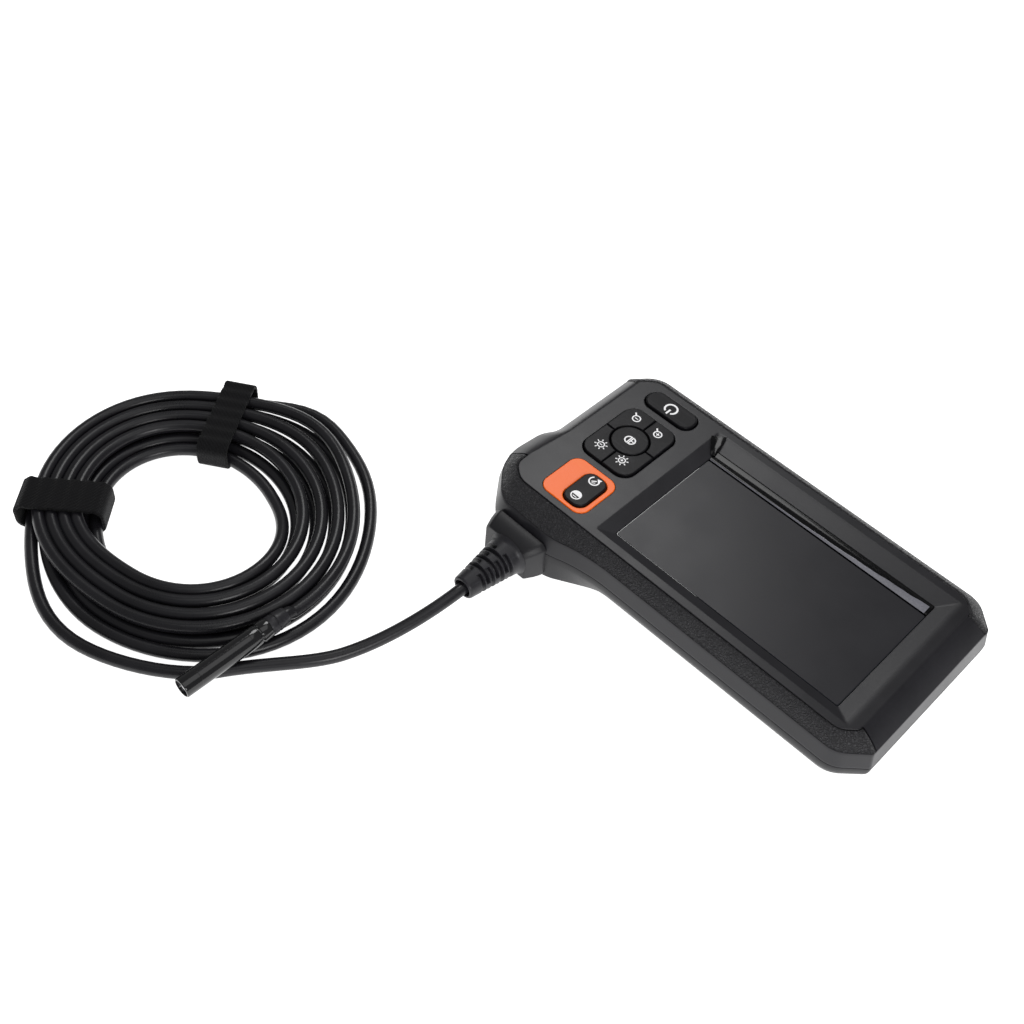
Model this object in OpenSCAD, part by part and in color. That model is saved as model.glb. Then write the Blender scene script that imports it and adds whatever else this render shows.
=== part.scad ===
// Handheld inspection camera: a flat-backed pad with a screen and keys, a side
// plug with a slotted strain relief, a coiled cable with two wrap ties and a
// cylindrical camera probe.  Millimetres.  The pad lies on its back: z = 0 is
// the back face, +X runs along the pad from the keys to the screen end, and
// the plug leaves the near (-Y) side.

/* [Pad] */
// Height of the flat top face above the back face
top_z = 30; // [28:1:32]
// Height of the joint line between the front and rear shells
part_z = 16; // [15:0.5:17]
// Wall thickness of both shells
wall = 2.6; // [2.2:0.1:3]
// Width of the visible groove between neighbouring shell parts
seam = 0.2; // [0.12:0.02:0.3]

/* [Screen] */
// Length of the cover lens
lens_l = 110; // [104:1:112]
// Width of the cover lens
lens_w = 59.6; // [54:0.2:59.8]
// Thickness of the cover lens
lens_t = 1.6; // [1:0.1:1.8]

/* [Keys] */
// How far every key cap stands above the top face
key_proud = 1.2; // [0.6:0.1:1.6]
// Clear gap around each key cap
key_gap = 0.45; // [0.35:0.05:0.6]
// Radius of the round centre key
centre_r = 8.2; // [7:0.1:9]

/* [Strain relief] */
// Radius of the boot where it meets the plug block
boot_r1 = 9; // [8:0.1:9.4]
// Radius of the boot at its tip
boot_r2 = 5.2; // [5:0.1:6]
// Length of the boot
boot_l = 26.2; // [24:0.2:27]

/* [Cable] */
// Radius of the cable
cable_r = 2.7; // [2.3:0.1:2.7]
// Centre radius of the innermost turn of the coil
coil_r0 = 38; // [37.8:0.1:38.4]
// Sides of the cable's cross-section
cable_sides = 6; // [6:1:8]
// Steps in each turn of the coil
turn_steps = 30; // [24:2:36]

/* [Ties] */
// Width of the left wrap tie
tie_w = 16.5; // [12:0.5:17]
// Width of the upper wrap tie
tie_w2 = 13.5; // [11:0.5:14]
// Thickness of the tie webbing
tie_t = 1.5; // [1.2:0.1:1.5]

/* [Probe] */
// Radius of the camera probe
probe_r = 4.25; // [3.9:0.05:4.3]
// Length of the probe tube
probe_l = 41; // [38:1:42]

/* [Hidden] */
$fn = 48;

// ---------------------------------------------------------------- helpers
// A rect is [x0, y0, x1, y1].
function unit(v) = v / norm(v);
function mix(from, to, t) = [for (i = [0:len(from) - 1]) from[i] + (to[i] - from[i]) * t];
function grow(rect, d) = rect + d * [-1, -1, 1, 1];
function middle(rect) = [(rect[0] + rect[2]) / 2, (rect[1] + rect[3]) / 2];
function corners(rect) = [[rect[0], rect[1]], [rect[2], rect[1]],
    [rect[2], rect[3]], [rect[0], rect[3]]];
// Plan points lifted to height z.
function lift(points, z) = [for (p = points) [p[0], p[1], z]];
// [x, z] points stood up at y.
function upright(points, y) = [for (p = points) [p[0], y, p[1]]];

// Corner i of a polygon turned into a smooth bend of steps + 1 points.
function bend(points, i, radius, steps) =
    let(n = len(points),
        before = points[(i + n - 1) % n],
        corner = points[i],
        after = points[(i + 1) % n],
        reach = min(radius, norm(before - corner) * 0.45, norm(after - corner) * 0.45),
        start = corner + unit(before - corner) * reach,
        end = corner + unit(after - corner) * reach)
    steps == 0 ? [corner] : [for (j = [0:steps])
        let(t = j / steps)
        (1 - t) * (1 - t) * start + 2 * t * (1 - t) * corner + t * t * end];

// Polygon moved inward by d (outward when d is negative).
function inset(points, d) =
    let(n = len(points))
    [for (i = [0:n - 1])
        let(here = points[i],
            u = unit(here - points[(i + n - 1) % n]),
            v = unit(points[(i + 1) % n] - here),
            normal_in = [-u[1], u[0]],
            normal_out = [-v[1], v[0]])
        here + (normal_in + normal_out) * (d / (1 + normal_in * normal_out))];

// Points of a rect with rounded corners.
function rounded(rect, r, steps = 6) = [
    for (arc = [[rect[2] - r, rect[1] + r, -90], [rect[2] - r, rect[3] - r, 0],
                [rect[0] + r, rect[3] - r, 90], [rect[0] + r, rect[1] + r, 180]])
    for (j = [0:steps])
        let(angle = arc[2] + 90 * j / steps)
        [arc[0] + r * cos(angle), arc[1] + r * sin(angle)]];

module plate(rect, r, z0, z1)
    translate([0, 0, z0]) linear_extrude(z1 - z0) polygon(rounded(rect, r));
module block(rect, z0, z1)
    translate([rect[0], rect[1], z0]) cube([rect[2] - rect[0], rect[3] - rect[1], z1 - z0]);
// Upright cylinder over the plan point p.
module rod(p, z, r, h) translate([p[0], p[1], z]) cylinder(r = r, h = h);
// [x, z] profile swept from y0 to y1; its X and Z keep their sense.
module sweep_y(y0, y1)
    translate([0, y1, 0]) rotate([90, 0, 0]) linear_extrude(y1 - y0) children();
// Children turned so that their +Z runs along -Y.
module toward_near(x, y, z) translate([x, y, z]) rotate([90, 0, 0]) children();

// Closed skin through a list of rings with equal point counts.  flip reverses
// the faces.  With fan the two ends close about points on the Z axis.
module skin(rings, flip = false, fan = false) {
    n = len(rings[0]);
    m = len(rings);
    sides = [for (i = [0:m - 2]) for (j = [0:n - 1])
        let(a = i * n + j, b = i * n + (j + 1) % n, c = a + n, d = b + n)
        each [[a, c, d], [a, d, b]]];
    caps = fan
        ? [for (j = [0:n - 1]) let(k = (j + 1) % n)
            each [[j, k, m * n], [(m - 1) * n + k, (m - 1) * n + j, m * n + 1]]]
        : [[for (j = [0:n - 1]) j], [for (j = [n - 1:-1:0]) (m - 1) * n + j]];
    faces = concat(sides, caps);
    mids = fan ? [[0, 0, rings[0][0][2]], [0, 0, rings[m - 1][0][2]]] : [];
    polyhedron(concat([for (r = rings) each r], mids),
        flip ? [for (f = faces) [for (j = [len(f) - 1:-1:0]) f[j]]] : faces, 12);
}

// ---------------------------------------------------------------- outline
grip_z = 24;              // lower edge of the side grips
grip_t = 1.7;             // depth of the grip recess
grip_mid_z = 26.2;        // top of the lower, full-depth part of the grip recess
rear_top = part_z - seam; // top rim of the rear shell
in_top = top_z - 2.2;     // underside of the top face

// Corners of the pad's plan, anticlockwise from the near screen-end chamfer.
// Columns: corner at the flat top, at the lower edge of the grips, at the
// joint line, at the back face; bend radius; bend steps; 1 where a grip
// covers the corner.
OUTLINE = [
    [[80.7, -43.5],   [84.6, -48.8],   [85.6, -50],     [83, -42],       5, 3, 1],
    [[86.2, -38],     [95, -38.9],     [96.6, -39.4],   [92, -33],       5, 3, 1],
    [[86.2, -36.2],   [95, -36.9],     [96.6, -37.2],   [92, -31.3],     0, 0, 1],
    [[86.2, -35.2],   [95, -35.9],     [96.6, -36.2],   [92, -30.3],     0, 0, 0],
    [[86.2, 35.2],    [95.2, 37.5],    [96.8, 38],      [92, 31],        0, 0, 0],
    [[86.2, 36.2],    [95.2, 38.5],    [96.8, 39],      [92, 32],        0, 0, 1],
    [[86.2, 38],      [95.2, 41],      [96.8, 41.6],    [92, 34],        5, 3, 1],
    [[80.7, 43.5],    [84.9, 51],      [86, 51.8],      [83, 43],        5, 3, 1],
    [[-80, 43.5],     [-84.5, 51],     [-85.2, 51.8],   [-81, 43],       7, 3, 1],
    [[-86, 37.5],     [-93.3, 40],     [-94.5, 40.5],   [-90, 32.5],     7, 3, 1],
    [[-86, 35.5],     [-93.3, 37.8],   [-94.5, 38.2],   [-90, 30.5],     0, 0, 1],
    [[-86, 34.5],     [-93.3, 36.8],   [-94.5, 37.2],   [-90, 29.5],     0, 0, 0],
    [[-86, -8],       [-93.3, -8],     [-94.5, -8],     [-90, -8],       6, 2, 0],
    [[-86.6, -14],    [-97, -14],      [-99.3, -14],    [-92.5, -14],    6, 2, 0],
    [[-88, -27],      [-98.1, -28],    [-100.5, -28],   [-93.2, -27],    4, 2, 0],
    [[-88.58, -30.5], [-97.55, -31.5], [-99.95, -31.1], [-92.45, -30.4], 0, 0, 0],
    [[-88.6, -31.55], [-97.47, -32.55], [-99.85, -32.15], [-92.37, -31.55], 0, 0, 1],
    [[-88.4, -38.2],  [-94.6, -40.4],  [-97.2, -39],    [-90.5, -37.5],  6, 3, 1],
    [[-81.8, -43.5],  [-83.5, -53],    [-83.8, -55.6],  [-83, -54.6],    6, 3, 1],
    [[-54, -43.5],    [-54, -53.4],    [-54, -56],      [-54, -55.3],    5, 3, 1],
    [[-44, -43.5],    [-44, -50.6],    [-44, -52.5],    [-44, -49.5],    7, 2, 1],
    [[-31, -43.5],    [-31, -48.9],    [-31, -50.2],    [-32, -42.6],    9, 2, 1]];
function column(k) = [for (row = OUTLINE) row[k]];
top_plan = column(0);
side_plan = column(1);
joint_plan = column(2);
back_plan = column(3);
bend_r = column(4);
bend_steps = column(5);
gripped = column(6);

// Height below the joint line, and share of the way to the back plan there.
BACK_BLEND = [[0, 1], [1, 0.9], [4, 0.6], [8, 0.28], [12, 0.03], [16, 0]];
// Plan of the outer skin at height z.
function level(z) =
    z >= grip_z ? mix(top_plan, side_plan, pow((top_z - z) / (top_z - grip_z), 0.72))
    : z >= part_z ? mix(side_plan, joint_plan, (grip_z - z) / (grip_z - part_z))
    : mix(joint_plan, back_plan, lookup(z, BACK_BLEND));
function bent(plan, i) = bend(plan, i, bend_r[i], bend_steps[i]);
function ring(plan, z) = lift([for (i = [0:len(plan) - 1]) each bent(plan, i)], z);
function outer_ring(z) = ring(level(z), z);
function inner_ring(z) = ring(inset(level(z), wall), z);
// Ring on one plan where a grip covers the corner, on the other elsewhere.
function grip_ring(covered, open, z) =
    ring([for (i = [0:len(open) - 1]) gripped[i] == 1 ? covered[i] : open[i]], z);

// ---------------------------------------------------------------- places
SCREWS = [[81.5, 32], [81.5, -32], [-43, 38.5], [-43, -38.5], [-83, 33], [-83, -27]];

// Window pocket for lens and trim, the bevel around it and the opening below
POCKET = [-35.9, -35, 74.6, 31.6];
BEVEL = [-42.3, -39.6, 79, 39.6];
VIEW = [POCKET[0] + 2.4, POCKET[1] + 2.5, POCKET[2] - 2.2, 22.9];
pocket_z = 26.4;                         // floor of the pocket
glass_z = 26.7;                          // underside of the lens
glass_x = POCKET[0] + 0.25;
glass_y = POCKET[1] + 0.25;
GLASS = [glass_x, glass_y, glass_x + lens_l, glass_y + lens_w];

// Key outlines and heights
PAD = [-77.85, -12.2, -51.15, 23.7];     // five-key block
POWER = [-77.35, 28.4, -51.6, 39.2];
FLIP = [-64.4, -38, -53.1, -19.1];
ACCENT = [-74.5, -40.2, -50.5, -16];
pad_centre = [-64.5, 6];                 // centre of the round key
flip_centre = middle(FLIP);
flip_hole_r = 4.6;                       // corner radius of the hole for the rocker
accent_z = 29.1;                         // underside of the accent plate
key_top = top_z + key_proud;
key_low = 26.2;                          // underside of the caps
centre_low = 25.5;                       // underside of the round key
flange_top = 27.2;                       // top of the retaining flanges
flange_w = 1.1;                          // how far the flanges reach past the caps

// Switches under the caps, and posts that hold the key board
PRESS = [[-64.5, 33.8], [-72, 17.5], [-57, 17.5], [-72, -5.5], [-57, -5.5],
    pad_centre, flip_centre - [0, 6], flip_centre + [0, 6]];
POSTS = [[-72, -20.5], [-72, -35.5], [-48.6, 26.2], [-80.2, -8]];
KEY_BOARD = [-79, -40.6, -47.2, 40.4];
key_board_z = 19.4;
key_board_top = 20.8;

main_z = 12.4;                           // underside of the main board
main_top = 14;

// Port cover and its recess in the key end
cover_y0 = -6;
cover_y1 = 22;
cover_gap = 0.3;

// Plug block, its tongue into the rear shell, and the boot's axis
plug_y = -56.15;                         // face against the pad
plug_end_y = -63.7;                      // face against the boot
tongue_x0 = -76;
tongue_x1 = -60;
tongue_z0 = 5;
tongue_z1 = 14;
tongue_gap = 0.2;
boot_x = -67;
boot_z = 10.5;
lead_y = -46;                            // inner end of the cable lead

// ---------------------------------------------------------------- keys
// Quarter of the five-key block; right and far are 1 on the +X and +Y side.
module quarter_space(right, far) {
    split = 0.3; // half the slit between neighbouring keys
    block([right == 1 ? pad_centre[0] + split : -90, far == 1 ? pad_centre[1] + split : -30,
        right == 1 ? -40 : pad_centre[0] - split, far == 1 ? 40 : pad_centre[1] - split],
        20, 40);
}
module quarter_key(right, far) difference() {
    union() {
        intersection() {
            plate(PAD, 6, key_low, key_top);
            quarter_space(right, far);
        }
        intersection() {
            plate(grow(PAD, flange_w), 7, key_low, flange_top);
            quarter_space(right, far);
        }
    }
    rod(pad_centre, 20, centre_r + 0.4, 20);
    rod(pad_centre, 20, centre_r + 1.5, in_top - 20);
}
module zoom_out_key() color("#26262a") quarter_key(0, 1);
module zoom_in_key() color("#26262a") quarter_key(1, 1);
module light_down_key() color("#26262a") quarter_key(0, 0);
module light_up_key() color("#26262a") quarter_key(1, 0);
module camera_switch_key() color("#2a2a2e") {
    rod(pad_centre, centre_low, centre_r, key_top - centre_low);
    rod(pad_centre, centre_low, centre_r + 1, 1);
}
module power_key() color("#26262a") {
    plate(POWER, 5, key_low, key_top);
    // the flange is 0.2 narrower on the far side
    plate(grow(POWER, flange_w) - [0, 0, 0, 0.2], 5.5, key_low, flange_top);
}
module flip_rocker() color("#26262a") {
    plate(FLIP, 4.2, key_low, key_top);
    plate(grow(FLIP, flange_w), 5, key_low, flange_top);
}
module accent_plate() color("#f26a2e") difference() {
    plate(ACCENT, 5, accent_z, top_z + 0.25);
    plate(grow(FLIP, key_gap), flip_hole_r, 28, 32);
}

// Clearance for the two key-end screw bosses
module boss_notches(z) {
    rod(SCREWS[5], z, 4, 4);
    rod(SCREWS[4], z, 4.4, 4);
}
module keypad_membrane() color("#3a3a3e") {
    difference() {
        plate(KEY_BOARD, 3, 23.2, 24.2);
        for (p = POSTS) rod(p, 22, 1.6, 4);
        boss_notches(22);
    }
    // domes, lower under the round key
    for (p = PRESS) rod(p, 24, 2.4, p == pad_centre ? 0.7 : 1.4);
}
module tact_switches() color("#8b8b8b") for (p = PRESS) {
    block(grow([p[0], p[1], p[0], p[1]], 2.4), key_board_top, 22.4);
    rod(p, 22.3, 1.3, 0.9);
}
module key_board() color("#1d5c3a") difference() {
    plate(KEY_BOARD, 2, key_board_z, key_board_top);
    boss_notches(18);
}

// ---------------------------------------------------------------- shells
module front_shell() color("#1b1b1d") difference() {
    union() {
        skin([
            ring(inset(top_plan, 2.4), in_top),
            ring(inset(side_plan, 3.9), grip_z),
            ring(inset(joint_plan, wall), part_z),
            ring(joint_plan, part_z),
            outer_ring(20),
            ring(side_plan, grip_z),
            grip_ring(inset(side_plan, grip_t), level(grip_z + 0.06), grip_z + 0.06),
            grip_ring(inset(level(grip_mid_z), grip_t), level(grip_mid_z), grip_mid_z),
            grip_ring(top_plan, level(28.3), 28.3),
            grip_ring(top_plan, level(29.4), 29.4),
            ring(top_plan, top_z)], false, true);
        block([-38.6, -37.7, 77.4, 34.3], 24.9, in_top + 0.1); // window frame
        for (s = SCREWS) rod(s, part_z + 0.1, 3.3, in_top - part_z);
        for (p = POSTS) rod(p, 20.85, 1.3, 7.2);
    }
    // bevelled window recess
    polyhedron(concat(lift(corners(BEVEL), top_z + 0.01), lift(corners(POCKET), 28.4)),
        [[3,2,1,0], [4,5,6,7], [0,1,5,4], [1,2,6,5], [2,3,7,6], [3,0,4,7]]);
    block(POCKET, pocket_z, 28.6);
    block(VIEW, 24, 28);
    // key openings and the accent pocket
    for (hole = [[PAD, 6.4], [POWER, 5.3], [FLIP, flip_hole_r]])
        plate(grow(hole[0], key_gap), hole[1], 27, 32);
    plate(grow(ACCENT, 0.1), 5.1, accent_z, 32);
    for (s = SCREWS) rod(s, part_z - 1, 1.45, 10.2);
}

module rear_shell() color("#1b1b1d") difference() {
    union() {
        skin([inner_ring(2.4), inner_ring(8),
            ring(inset(joint_plan, wall), rear_top), ring(joint_plan, rear_top),
            outer_ring(12), outer_ring(8), outer_ring(4), outer_ring(1),
            ring(back_plan, 0)], true, true);
        for (s = SCREWS) rod(s, 1.2, 3.6, rear_top - 1.2);
        // posts under the main board
        for (p = [[-70, 29], [-62, -29], [68, 29], [68, -29]]) rod(p, 2, 2.2, 10.3);
        block([-92.5, -9, -89.2, 25], 2, 15); // thick wall behind the port cover
    }
    for (s = SCREWS) {
        rod(s, -1, 1.7, 20);
        rod(s, -1, 3, 5.5);
    }
    // stepped recess for the port cover
    sweep_y(cover_y0 - cover_gap, cover_y1 + cover_gap)
        polygon([[-99, 3.6], [-91.1, 3.6], [-91.1, 7.4], [-92.6, 7.4],
            [-92.6, 14.4], [-99, 14.4]]);
    block([-94, -3.4, -88, 6.4], 8.7, 12.9);   // charging socket mouth
    block([-94, 8.3, -88, 20.7], 10.2, 12.9);  // card mouth
    block([tongue_x0 - tongue_gap, -60, tongue_x1 + tongue_gap, -48],
        tongue_z0 - tongue_gap, tongue_z1 + tongue_gap);
}

// Plan points of a grip over the corners first..last, held back at both ends.
// Indices may run past the end of the plan.
function grip_points(plan, first, last) =
    let(n = len(plan), start = plan[first % n], end = plan[last % n])
    concat([start + unit(plan[(first + 1) % n] - start) * 0.9],
        [for (i = [first + 1:last - 1]) each bent(plan, i % n)],
        [end + unit(plan[(last - 1) % n] - end) * 0.6]);
module grip(first, last) {
    lip = inset(top_plan, -seam);
    back_t = grip_t - 0.35; // leaves a gap to the recess
    // [plan, height] up the outside, then down the back
    rows = [for (row = [
            [inset(side_plan, 0.02), grip_z + 0.22],
            [level(25), 25], [level(26.4), 26.4], [level(27.7), 27.7],
            [level(28.8), 28.8], [level(29.6), 29.6],
            [lip, 29.92], [lip, 28.62],
            [inset(level(grip_mid_z), back_t), 26.5],
            [inset(side_plan, back_t), grip_z + 0.22]])
        lift(grip_points(row[0], first, last), row[1])];
    skin([for (j = [0:len(rows[0]) - 1]) [for (row = rows) row[j]]], true);
}
module near_grip() color("#202022") grip(16, 24);
module far_grip() color("#202022") grip(5, 10);

module case_screws() color("#77777b") for (s = SCREWS) translate([s[0], s[1], 0])
    difference() {
        union() {
            translate([0, 0, 2]) cylinder(r = 2.8, h = 2.3);
            translate([0, 0, 4]) cylinder(r = 1.4, h = 20.6);
        }
        translate([0, 0, 1]) cylinder(r = 1.5, h = 2.2, $fn = 6);
    }

// ---------------------------------------------------------------- screen
module display_glass() color("#222329") plate(GLASS, 0.8, glass_z, glass_z + lens_t);
module display_gasket() color("#101010") difference() {
    plate(grow(GLASS, -0.2), 0.8, pocket_z, glass_z);
    block(VIEW, 26, 27);
}
module screen_film() color("#2b2c31")
    plate(grow(GLASS, -0.2), 0.8, glass_z + lens_t, glass_z + lens_t + 0.2);
// Bar along the far edge of the lens; profile points are [y, z].
module screen_trim() color("#0c0c0d") translate([glass_x, 0, 0]) rotate([90, 0, 90])
    linear_extrude(lens_l)
        polygon([[25.4, 26.5], [31.3, 26.5], [31.3, 28.8], [30.6, 29.3],
            [26.4, 29.1], [25.4, 28.6]]);
module lcd_panel() color("#4a4d52") {
    plate([-36, -35.2, 76.5, 32], 1, 21, 24.85);
    block([-30, -10, -8, 18], 20.2, 21.2);
}

// ---------------------------------------------------------------- inside
module main_board() color("#1d5c3a") {
    difference() {
        union() {
            plate([-78.6, -34, 77, 34], 2, main_z, main_top);
            block([-87.5, -5, -77, 22.5], main_z, main_top);
        }
        for (s = SCREWS) rod(s, 10, 4.2, 6);
    }
    // components: rect and top height
    for (part = [[[-20, -14, 8, 14], 16.4], [[20, -10, 34, 8], 15.6],
                 [[-60, -8, -44, 12], 15.8], [[48, -20, 66, -8], 15.4]])
        block(part[0], main_top - 0.1, part[1]);
}
module battery_pack() color("#39507a") plate([-46, -27, 58, 27], 3, 2.5, 11.2);
module charge_port() color("#b9bbc0") difference() {
    block([-90.8, -3, -83.4, 6], 9.1, main_z);
    block([-92, -1.9, -85, 4.9], 9.9, 11.6);
}
module card_slot() color("#b9bbc0") difference() {
    block([-89, 8.6, -76, 20.4], 10.6, main_z);
    block([-92, 9.4, -78, 19.6], 11, 12);
}
// Cover over the sockets
module port_cover() color("#232326") sweep_y(cover_y0, cover_y1) polygon([
    [-91.6, 4.2], [-91.5, 4.7], [-92.75, 7.3], [-92.75, 14.1], [-94.3, 14.1],
    [-94.25, 12], [-93.3, 8], [-92.5, 5], [-92.1, 4.1]]);

// ---------------------------------------------------------------- plug
module plug_block() color("#1e1e20") difference() {
    union() {
        skin([
            upright([[-82.4, 1.5], [-54.1, 1.5], [-54.1, 17.6], [-56.4, 20],
                [-80.2, 20], [-82.4, 17.8]], plug_y),
            upright([[-80.6, 1.9], [-57.2, 1.9], [-57.2, 16], [-58.8, 18],
                [-78.8, 18], [-80.6, 16]], plug_end_y)]);
        block([tongue_x0, -56.3, tongue_x1, -46.4], tongue_z0, tongue_z1);
    }
    toward_near(boot_x, -40, boot_z) cylinder(r = cable_r + 0.1, h = 30);
}

// Slot part way round the boot at distance t from the block, from angle start.
module boot_slot(t, start) {
    surface_r = boot_r1 + (boot_r2 - boot_r1) * t / boot_l;
    translate([0, 0, t]) rotate([0, 0, start]) rotate_extrude(angle = 150)
        translate([surface_r - 2.2, 0]) square([6, 1.8]);
}
module strain_relief_boot() color("#1e1e20")
    toward_near(boot_x, plug_end_y - 0.05, boot_z) difference() {
        bore_r = cable_r + 0.15;
        slot_pitch = 4.6;
        rotate_extrude() polygon([[bore_r, 0], [boot_r1, 0], [boot_r1, 3],
            [boot_r2 + 0.4, boot_l - 1.2], [boot_r2 - 0.5, boot_l], [4.1, boot_l],
            [3.1, boot_l - 8.2], [bore_r, boot_l - 11]]);
        // two staggered sets: first distance, last index, start angle
        for (set = [[5, 3, 100], [7.4, 2, 12]])
            for (i = [0:set[1]])
                for (half = [0, 180])
                    boot_slot(set[0] + i * slot_pitch, set[2] + half);
    }

cable_y = plug_end_y - boot_l + 8; // rounded end of the cable inside the boot
module cable_lead() color("#202022") toward_near(boot_x, lead_y, boot_z)
    cylinder(r = cable_r, h = lead_y - (cable_y + cable_r + 0.3));
module lead_connector() color("#d8d4c4") difference() {
    block([-73, -46.2, -61, -37], 6, 12);
    toward_near(boot_x, -45.8, boot_z) cylinder(r = cable_r + 0.05, h = 6);
}

// ---------------------------------------------------------------- cable
coil_x = -174.3;
coil_y = -146.5;
upper_angle = 124;           // plan angles of the ties about the coil centre
left_angle = -138;
z_low = tie_t + cable_r + 0.25;
z_up = z_low + 2 * cable_r + 0.1;
// Stations along the coil are degrees wound, clockwise from plan angle -30.
lower_end = 2060;            // end of the lower layer
climb_end = 2130;            // end of the climb
coil_end = 3570;             // end of the upper layer

function plan_angle(wound) = -30 - wound;
function loose(wound) = 0.5 + 0.5 * cos(plan_angle(wound) - 40);
function ease(t) = t * t * (3 - 2 * t);
// 0 on the lower layer, 1 on the upper
function rise(wound) =
    ease(min(1, max(0, (wound - lower_end) / (climb_end - lower_end))));
function inner_r(wound) = coil_r0 + 0.2 + 0.6 * cos(plan_angle(wound) - 45)
    + 3.2 * cos(2 * plan_angle(wound));
function pitch(wound) = 6.22 + 1.2 * cos(plan_angle(wound) - 70)
    - 0.5 * pow(max(0, cos(plan_angle(wound) - upper_angle)), 8);
// Each turn keeps its lane in the bundle and steps sideways beneath the left
// tie: inwards along the lower layer, outwards along the upper one.
function steps(wound) = wound < 40 ? 0
    : let(t = (wound - 40) / 360, whole = floor(t)) whole + ease(min(1, (t - whole) * 5));
function lane(wound) = wound < climb_end ? 6 - steps(wound) + 0.5 * rise(wound)
    : steps(wound) - 5.5 - 0.2 * loose(wound) * min(1, max(0, steps(wound) - 6));
// Outward bows of the outer turns away from the ties: height, station, width.
BOWS = [[2, 0, 30], [5, 50, 28], [6, 232, 16], [4, 258, 26],
    [1.8, 330, 30], [3, 604, 26], [2, 3122, 26], [4.5, 3478, 24]];
function bow(wound) = [for (b = BOWS) b[0]]
    * [for (b = BOWS) exp(-pow((wound - b[1]) / b[2], 2))];
function coil(wound) =
    let(r = inner_r(wound) + lane(wound) * pitch(wound)
        + 0.7 * loose(wound) * sin(0.8 * wound) + bow(wound))
    [coil_x + r * cos(plan_angle(wound)), coil_y + r * sin(plan_angle(wound)),
        z_low + (z_up - z_low) * rise(wound)];

// Bezier curve from a to d in eight steps, without its last point.
function curve(a, b, c, d) = [for (i = [0:7])
    let(t = i / 8, s = 1 - t)
    s * s * s * a + 3 * s * s * t * b + 3 * s * t * t * c + t * t * t * d];

coil_first = coil(0);
coil_last = coil(coil_end);
coil_heading = [sin(plan_angle(0)), -cos(plan_angle(0)), 0]; // at the first point
tail_mid = [-79, -144, z_low];
probe_x = coil_last[0];
probe_y = -157.5;            // end of the tail inside the probe lies 4 beyond this
probe_z = z_low + cable_r + probe_r + 0.15;
path = concat([[boot_x, cable_y - 4, boot_z]],
    curve([boot_x, cable_y - 9.8, boot_z], [-68, -107, 8.4], [-72, -127, z_low], tail_mid),
    curve(tail_mid, [-84.6, -156.8, z_low], coil_first - 20 * coil_heading, coil_first),
    [for (wound = [0:360 / turn_steps:coil_end - 0.1]) coil(wound)],
    [coil_last,
        [probe_x, coil_last[1] - 1.6, coil_last[2] + (probe_z - coil_last[2]) * 0.5],
        [probe_x, probe_y + 7.6, probe_z],
        [probe_x, probe_y - 4, probe_z]]);

// Ring of radius r about a point, square to a direction.
function cable_ring(point, direction, r) =
    let(ahead = unit(direction), side = unit(cross(ahead, [0, 0, 1])), over = cross(side, ahead))
    [for (j = [0:cable_sides - 1])
        let(angle = 360 * j / cable_sides)
        point + r * (cos(angle) * over + sin(angle) * side)];
module cable() color("#1c1c1e") {
    last = len(path) - 1;
    skin(concat(
        [for (angle = [75, 50, 25, 0]) // domed start
            cable_ring([boot_x, cable_y + cable_r * sin(angle), boot_z], [0, -1, 0],
                cable_r * cos(angle))],
        [for (i = [0:last])
            cable_ring(path[i], path[min(i + 1, last)] - path[max(i - 1, 0)], cable_r)]),
        true);
}

// ---------------------------------------------------------------- probe
tube_y = probe_y - 1.6;      // rear end of the tube
tip_y = tube_y - probe_l;
module along(y) toward_near(probe_x, y, probe_z) children();
module probe_neck() color("#161618") along(probe_y + 7) difference() {
    rotate_extrude() polygon([[0, 0.01], [3.3, 0.01], [3.9, 4.2], [3.9, 8.6],
        [3.3, 8.6], [3.3, 12], [0, 12]]);
    translate([0, 0, -1]) cylinder(r = cable_r + 0.45, h = 12);
}
module probe_tube() color("#131315") along(tube_y) difference() {
    groove_r = probe_r - 0.35;
    rotate_extrude() polygon([[0, 0], [probe_r - 0.25, 0], [probe_r, 0.4], [probe_r, 4.4],
        [groove_r, 4.6], [groove_r, 5.4], [probe_r, 5.6], [probe_r, probe_l - 0.4],
        [probe_r - 0.3, probe_l], [0, probe_l]]);
    translate([0, 0, -1]) cylinder(r = 3.4, h = probe_l - 2);
    translate([0, 0, probe_l - 4]) cylinder(r = 3.5, h = 10);
}
module lens_window() color("#30343a") along(tip_y + 1.7) cylinder(r = 3.4, h = 0.9);
module led_ring() color("#e8e4c8") along(tip_y + 3) difference() {
    cylinder(r = 3.35, h = 1.1);
    translate([0, 0, -1]) cylinder(r = 1.75, h = 4);
}
module camera_module() color("#2b2b2f") along(tip_y + 14) union() {
    cylinder(r = 3.1, h = 10.4);
    cylinder(r = 1.6, h = 12.1);
}

// ---------------------------------------------------------------- ties
// Band around the coil at a plan angle, clear between radii r0 and r1.
module tie(angle, r0, r1, width) {
    clear = [r0, 0.05 + tie_t, r1, z_up + cable_r + 0.2];
    translate([coil_x, coil_y, 0]) rotate([0, 0, angle])
        sweep_y(-width / 2, width / 2) difference() {
            polygon(rounded(grow(clear, tie_t), 4.2, 5));
            polygon(rounded(clear, 2.8, 5));
        }
}
module upper_tie() color("#151516") tie(upper_angle, 32.9, 74.1, tie_w2);
module left_tie() color("#151516") tie(left_angle, 33.5, 68.1, tie_w);

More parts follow.
